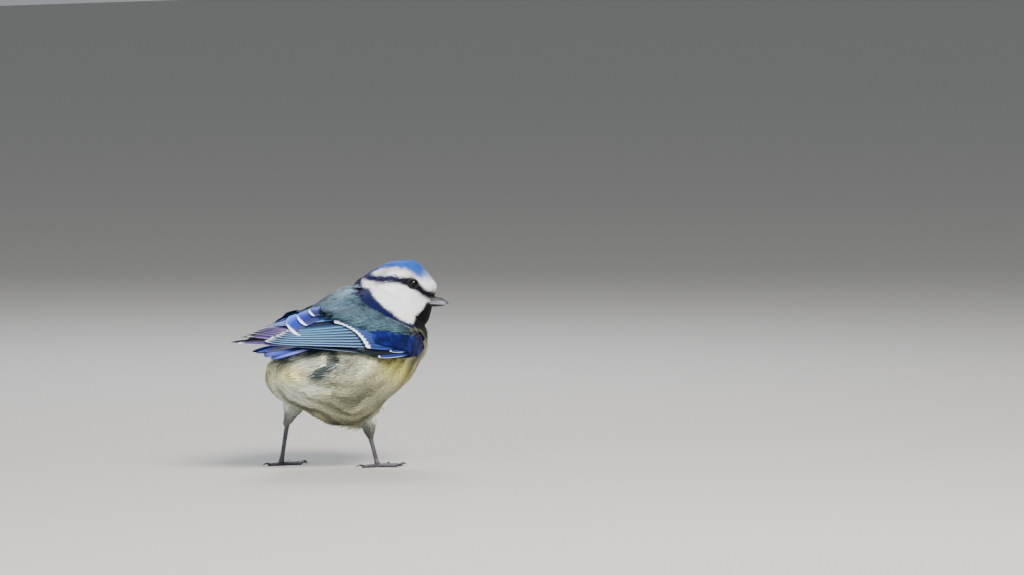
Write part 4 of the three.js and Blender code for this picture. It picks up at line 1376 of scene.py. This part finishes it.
def tuft_tree():
    """Geometry Nodes: scatters tufts over a surface, along the lie and a little apart in size and tone."""
    tree = bpy.data.node_groups.new("grow_tufts", "GeometryNodeTree")
    sockets = {}
    for name, kind in (
        ("Surface", "NodeSocketGeometry"),
        ("Tuft", "NodeSocketObject"),
        ("Per square metre", "NodeSocketFloat"),
        ("Seed", "NodeSocketInt"),
        ("Pitch", "NodeSocketFloat"),
        ("Material", "NodeSocketMaterial"),
    ):
        sockets[name] = tree.interface.new_socket(name=name, in_out="INPUT", socket_type=kind).identifier
    tree.interface.new_socket(name="Coat", in_out="OUTPUT", socket_type="NodeSocketGeometry")
    given = add_node(tree, "NodeGroupInput")
    seed = given.outputs["Seed"]
    read = {}
    marks = {"FLOAT": ("cover", "size", "lock"), "FLOAT_VECTOR": ("lie", "root_place", "patch")}
    for kind, names in marks.items():
        for name in names:
            mark = add_node(tree, "GeometryNodeInputNamedAttribute", {"data_type": kind}, {"Name": name})
            read[name] = mark.outputs[0]
    thick = {0: read["cover"], 1: given.outputs["Per square metre"]}
    density = add_node(tree, "ShaderNodeMath", {"operation": "MULTIPLY"}, thick)
    scatter = add_node(
        tree,
        "GeometryNodeDistributePointsOnFaces",
        {"distribute_method": "RANDOM"},
        {"Mesh": given.outputs["Surface"], "Density": density.outputs[0], "Seed": seed},
    )
    yaw = add_node(
        tree,
        "FunctionNodeRandomValue",
        {"data_type": "FLOAT_VECTOR"},
        {"Min": (-0.16, -0.16, -0.16), "Max": (0.16, 0.16, 0.16), "Seed": seed},
    )
    swayed = add_node(tree, "ShaderNodeVectorMath", {"operation": "ADD"}, {0: read["lie"], 1: yaw.outputs[0]})
    upright = add_node(
        tree, "FunctionNodeAlignRotationToVector", {"axis": "Z"}, {"Vector": scatter.outputs["Normal"]}
    )
    turned_along = add_node(
        tree,
        "FunctionNodeAlignRotationToVector",
        {"axis": "X", "pivot_axis": "Z"},
        {"Rotation": upright.outputs[0], "Vector": swayed.outputs[0]},
    )
    tilt = add_node(tree, "ShaderNodeCombineXYZ", inputs={"Y": given.outputs["Pitch"]})
    pitched = add_node(
        tree,
        "FunctionNodeRotateRotation",
        {"rotation_space": "LOCAL"},
        {"Rotation": turned_along.outputs[0], "Rotate By": tilt.outputs[0]},
    )
    sizes, tones = {"Min": 0.8, "Max": 1.2, "Seed": seed}, {"Min": 0.0, "Max": 1.0, "Seed": seed}
    vary = add_node(tree, "FunctionNodeRandomValue", {"data_type": "FLOAT"}, sizes)
    scale = add_node(tree, "ShaderNodeMath", {"operation": "MULTIPLY"}, {0: vary.outputs[1], 1: read["size"]})
    tuft_shape = add_node(
        tree, "GeometryNodeObjectInfo", {"transform_space": "ORIGINAL"}, {"Object": given.outputs["Tuft"]}
    )
    placed = add_node(
        tree,
        "GeometryNodeInstanceOnPoints",
        inputs={
            "Points": scatter.outputs["Points"],
            "Instance": tuft_shape.outputs["Geometry"],
            "Rotation": pitched.outputs[0],
            "Scale": scale.outputs[0],
        },
    )
    shade = add_node(tree, "FunctionNodeRandomValue", {"data_type": "FLOAT"}, tones)
    both = {"Factor": LOCK_SHARE, "A": shade.outputs[1], "B": read["lock"]}
    mixed = add_node(tree, "ShaderNodeMix", {"data_type": "FLOAT"}, both)
    toned = add_node(
        tree,
        "GeometryNodeStoreNamedAttribute",
        {"data_type": "FLOAT", "domain": "INSTANCE"},
        {"Geometry": placed.outputs[0], "Name": "tone", "Value": mixed.outputs[0]},
    )
    solid = add_node(tree, "GeometryNodeRealizeInstances", inputs={"Geometry": toned.outputs[0]})
    small = {0: read["patch"], "Scale": PATCH_SIZE}
    small = add_node(tree, "ShaderNodeVectorMath", {"operation": "SCALE"}, small).outputs[0]
    spot = add_node(tree, "ShaderNodeVectorMath", {"operation": "ADD"}, {0: read["root_place"], 1: small})
    mapped = add_node(
        tree,
        "GeometryNodeStoreNamedAttribute",
        {"data_type": "FLOAT2", "domain": "CORNER"},
        {"Geometry": solid.outputs[0], "Name": "OFBake", "Value": spot.outputs[0]},
    )
    finish = {"Geometry": mapped.outputs[0], "Material": given.outputs["Material"]}
    coated = add_node(tree, "GeometryNodeSetMaterial", inputs=finish)
    out = add_node(tree, "NodeGroupOutput")
    tree.links.new(coated.outputs[0], out.inputs["Coat"])
    return tree, sockets


grow, grow_sockets = tuft_tree()
# Share of the tufts that are grown; at 1.0 all of them.
THIN = 1.0
# Marks that only the growing needs; they are taken off the grown coat.
GROWING_MARKS = ("lie", "root_place", "patch", "cover", "size", "lock")


def coat(name, surface, cover, size, tuft_kind, per_mm2, pitch, coat_material, seed, slot_name):
    """Grows one piece of the coat where cover is above nought on a copy of the surface."""
    field = surface.copy()
    field.data = surface.data.copy()
    field.name = name + "_field"
    bpy.context.scene.collection.objects.link(field)
    for mark, values in (("cover", cover), ("size", size), ("lock", lock_tone(mesh_points(field)))):
        set_point_values(field, mark, values)
    grown = field.modifiers.new("grow", "NODES")
    grown.node_group = grow
    values = {
        "Tuft": tufts[tuft_kind],
        "Per square metre": per_mm2 * 1e6 * THIN,
        "Seed": seed,
        "Pitch": pitch,
        "Material": coat_material,
    }
    for key, value in values.items():
        grown[grow_sockets[key]] = value
    made = settled(field, name)
    for mark in GROWING_MARKS:
        layer = made.data.attributes.get(mark)
        if layer:
            made.data.attributes.remove(layer)
    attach(made, "root")


# Each kind of tuft: blades, length, spread, gather, width, lift, droop, segments and seed.
TUFTS = {
    "face": (4, 1.7, 0.4, 0.3, 0.26, 0.42, 0.12, 2, 11),
    "crown": (4, 2.4, 0.3, 0.6, 0.34, 0.5, 0.12, 2, 12),
    "mantle": (5, 3.3, 0.2, 1.1, 0.46, 0.85, 0.25, 2, 13),
    "belly": (5, 5.2, 0.05, 1.2, 0.44, 1.3, 0.45, 3, 14),
    "vent": (6, 5.2, 0.3, 1.2, 0.36, 1.8, 0.5, 3, 15),
    "covert": (5, 2.6, 0.2, 0.8, 0.42, 0.6, 0.15, 2, 16),
}
tufts = {kind: tuft(kind + "_tuft", *shape) for kind, shape in TUFTS.items()}

# Scapulars and shoulder: rows of small soft feathers rooted in the skin over the wing's joint.
# The grey-green ones hang from the back over the top of the wing, the deep blue ones cover its front.
PATCH_ROWS = 18


def lens_patch(name, mirrored, x, low, high, lift_low, lift_high, tint):
    """A thin closed sheet on the wing's shell, and each vertex's share of the way up it, or -1 inside."""
    rings = []
    share = np.linspace(0, 1, PATCH_ROWS)
    for i in range(len(x)):
        z = low[i] + (high[i] - low[i]) * share
        lift = lift_low[i] + (lift_high[i] - lift_low[i]) * share**1.3
        outer = shell_frame(np.full(PATCH_ROWS, x[i]), z, lift)[0]
        inner = shell_frame(np.full(PATCH_ROWS, x[i]), z, lift - 0.5)[0][::-1]
        rings.append(np.concatenate([outer, inner]))
    points, faces = ring_mesh(np.array(rings))
    if mirrored:
        points = left_side(points)
        faces = [face[::-1] for face in faces]
    made = mesh_object(name, points, faces)
    grow_ready(made, tint(points), np.repeat(np.array([(-1.0, 0.0, -0.22)]), len(points), 0))
    made.data.materials.append(skin_material)
    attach(made, "root")
    return made, np.tile(np.concatenate([share, np.full(PATCH_ROWS, -1.0)]), len(x))


def shoulder_tint(points):
    """Deep blue, clouded with a lighter and a darker one."""
    deep = np.repeat(hue("0E1B60")[None], len(points), 0)
    deep = blended(deep, hue("1B348C"), np.clip(value_noise(points, 3, 9), 0, 1))
    return blended(deep, hue("0A103E"), np.clip(-value_noise(points, 2, 10), 0, 1) * 0.8)


scapular_x = np.linspace(17.5, -15.5, 46)
scapular_low = np.interp(scapular_x, *SCAPULAR_EDGE)
scapular_low += np.interp(scapular_x, (-16.5, -13, -9), (2.4, 1.2, 0.9))
# Where the scapulars pass under the feathers of the back: places along the body and heights.
SCAPULAR_TOP = (
    (-15.5, -8, 0, 2.8, 4.7, 6, 9.9, 13.9, 18),
    (54.6, 57.0, 59.0, 57.2, 55.0, 53.2, 50.2, 48.0, 45.6),
)
scapular_high = np.interp(scapular_x, *SCAPULAR_TOP)
scapular_lift = np.interp(scapular_x, (-16.5, -12, 12, 18), (1.7, 2.2, 2.2, 1.4))
scapular_sink = np.interp(scapular_x, (-16.5, -8, 2, 8, 18), (0.2, -1.6, -2.6, -0.6, 0.4))
shoulder_x = np.linspace(22.3, -2.0, 34)
SHOULDER_EDGE = ((-2, 4, 10, 14, 18, 20.5, 22.3), (44.2, 43.0, 41.6, 40.0, 39.4, 40.4, 42.0))
shoulder_low = np.interp(shoulder_x, *SHOULDER_EDGE)
shoulder_high = np.interp(shoulder_x, *SCAPULAR_EDGE) + 1.6
shoulder_high = np.minimum(shoulder_high, np.interp(shoulder_x, (18, 21, 22.3), (50, 45.2, 43.6)))
shoulder_lift = np.interp(shoulder_x, (-2, 1, 10, 20, 22.3), (1.5, 1.9, 1.9, 1.6, 0.7))
scapulars = (scapular_x, scapular_low, scapular_high, scapular_lift, scapular_sink, body_colour)
shoulder = (shoulder_x, shoulder_low, shoulder_high, shoulder_lift, shoulder_lift, shoulder_tint)
for mirrored, side in ((False, "right"), (True, "left")):
    patch, height = lens_patch("scapular_skin_" + side, mirrored, *scapulars)
    cover, size = (height >= 0) * smoothstep(0.97, 0.9, height), 1 - 0.3 * smoothstep(0.5, 1, height)
    grown = (cover, size, "mantle", 5, -0.06, back_feathers, 31, "back_feathers")
    coat("coat_scapular_" + side, patch, *grown)
    patch, height = lens_patch("shoulder_skin_" + side, mirrored, *shoulder)
    grown = (height >= 0, np.full(len(height), 0.9), "covert", 7, -0.08, back_feathers, 32, "flight_feathers")
    coat("coat_shoulder_" + side, patch, *grown)

# Head and body feathers: tracts that meet without a line, short and tight on the head, loose on the belly.
# Each tract is a share of the skin from nought to one; round the eyes and the bill it stays bare or short.
px, py, pz = skin_points.T
hp, hq, hz = head_coordinates(skin_points)
head_zone = smoothstep(0.8, -0.8, head_edge(hp, hz))
head_zone = np.maximum(head_zone, (np.abs(hq) < 9) & (hp > 4) & (hz > 48) & (hz < 57))
crown_zone = head_zone * smoothstep(62.5, 64.5, hz + np.clip(-hp, 0, 12) * 0.3)
eye_clear = np.ones(len(skin_points))
for side in (-1, 1):
    gap = np.linalg.norm(skin_points - (eye_centre(side) + outward(side) * 0.6), axis=1)
    eye_clear *= smoothstep(1.75, 2.1, gap)
bill_gap = np.hypot(np.hypot(hp - 16.4, hq * 0.9), hz - 56.8)
bare_clear = eye_clear * smoothstep(1.7, 2.4, bill_gap)
eye_gap = np.min([np.linalg.norm(skin_points - eye_centre(side), axis=1) for side in (-1, 1)], 0)
near_size = np.minimum(np.interp(eye_gap, (2, 6), (0.5, 1.0)), np.interp(bill_gap, (2, 8), (0.55, 1.0)))
back_zone = smoothstep(44.5, 46, pz) * smoothstep(1.6, -1.6, px - (15 + (pz - 48) * 0.2)) * (1 - head_zone)
rump_zone = smoothstep(-13, -15, px) * smoothstep(36, 38.5, pz) * (1 - head_zone)
back_zone = np.maximum(back_zone, rump_zone)
under_zone = (1 - head_zone) * (1 - back_zone)
vent_zone = under_zone * smoothstep(-13, -20, px)
belly_zone = under_zone * (1 - vent_zone)
breast_zone = belly_zone * smoothstep(31, 38, pz)
low_zone = belly_zone * (1 - breast_zone)
right_side = smoothstep(0.5, -0.5, py)
wing_low = table_curve(ARM_EDGE)(px)[:, 0]
covered = (pz > wing_low + 2.2) & (pz < np.interp(px, *SCAPULAR_EDGE) + 2)
open_skin = 1.0 - (covered & (px > -10) & (px < 18) & (np.abs(py) > 8))
ones = np.ones(len(px))
face_zone = head_zone * (1 - crown_zone)
breast_size = np.interp(pz, (40, 52), (0.85, 0.6))
low_size = ones * 0.95
# Each coat: name, cover, size, kind of tuft, tufts to the square millimetre, pitch, finish, seed and slot.
for name, *grown, slot in (
    ("crown", crown_zone * bare_clear, near_size, "crown", 14, -0.1, crown_feathers, 21, "head"),
    ("face", face_zone * bare_clear, near_size, "face", 19, -0.08, face_feathers, 22, "head"),
    ("back", back_zone * open_skin, ones, "mantle", 4.5, -0.06, back_feathers, 23, "back"),
    ("breast", breast_zone * open_skin, breast_size, "belly", 3.4, -0.02, loose_feathers, 24, "belly"),
    ("belly_right", low_zone * right_side, low_size, "belly", 3.8, 0.0, loose_feathers, 25, "belly"),
    ("belly_left", low_zone * (1 - right_side), low_size, "belly", 3.8, 0.0, loose_feathers, 26, "belly"),
    ("vent", vent_zone, ones, "vent", 4, 0.02, loose_feathers, 27, "belly"),
):
    coat("coat_" + name, skin, *grown, slot + "_feathers")

# Shank feathers: the same loose down on both legs, shorter towards the bare ankle.
for side, shank in shank_skins.items():
    height = mesh_points(shank)[:, 2]
    size = np.interp(height, (LEGS[side]["ankle"][2], LEGS[side]["hip"][2]), (0.4, 0.8))
    cover = np.ones(len(height))
    coat("coat_shank_" + side, shank, cover, size, "belly", 8, 0.0, loose_feathers, 30, "belly_feathers")

for pattern_tuft in tufts.values():
    bpy.data.objects.remove(pattern_tuft)
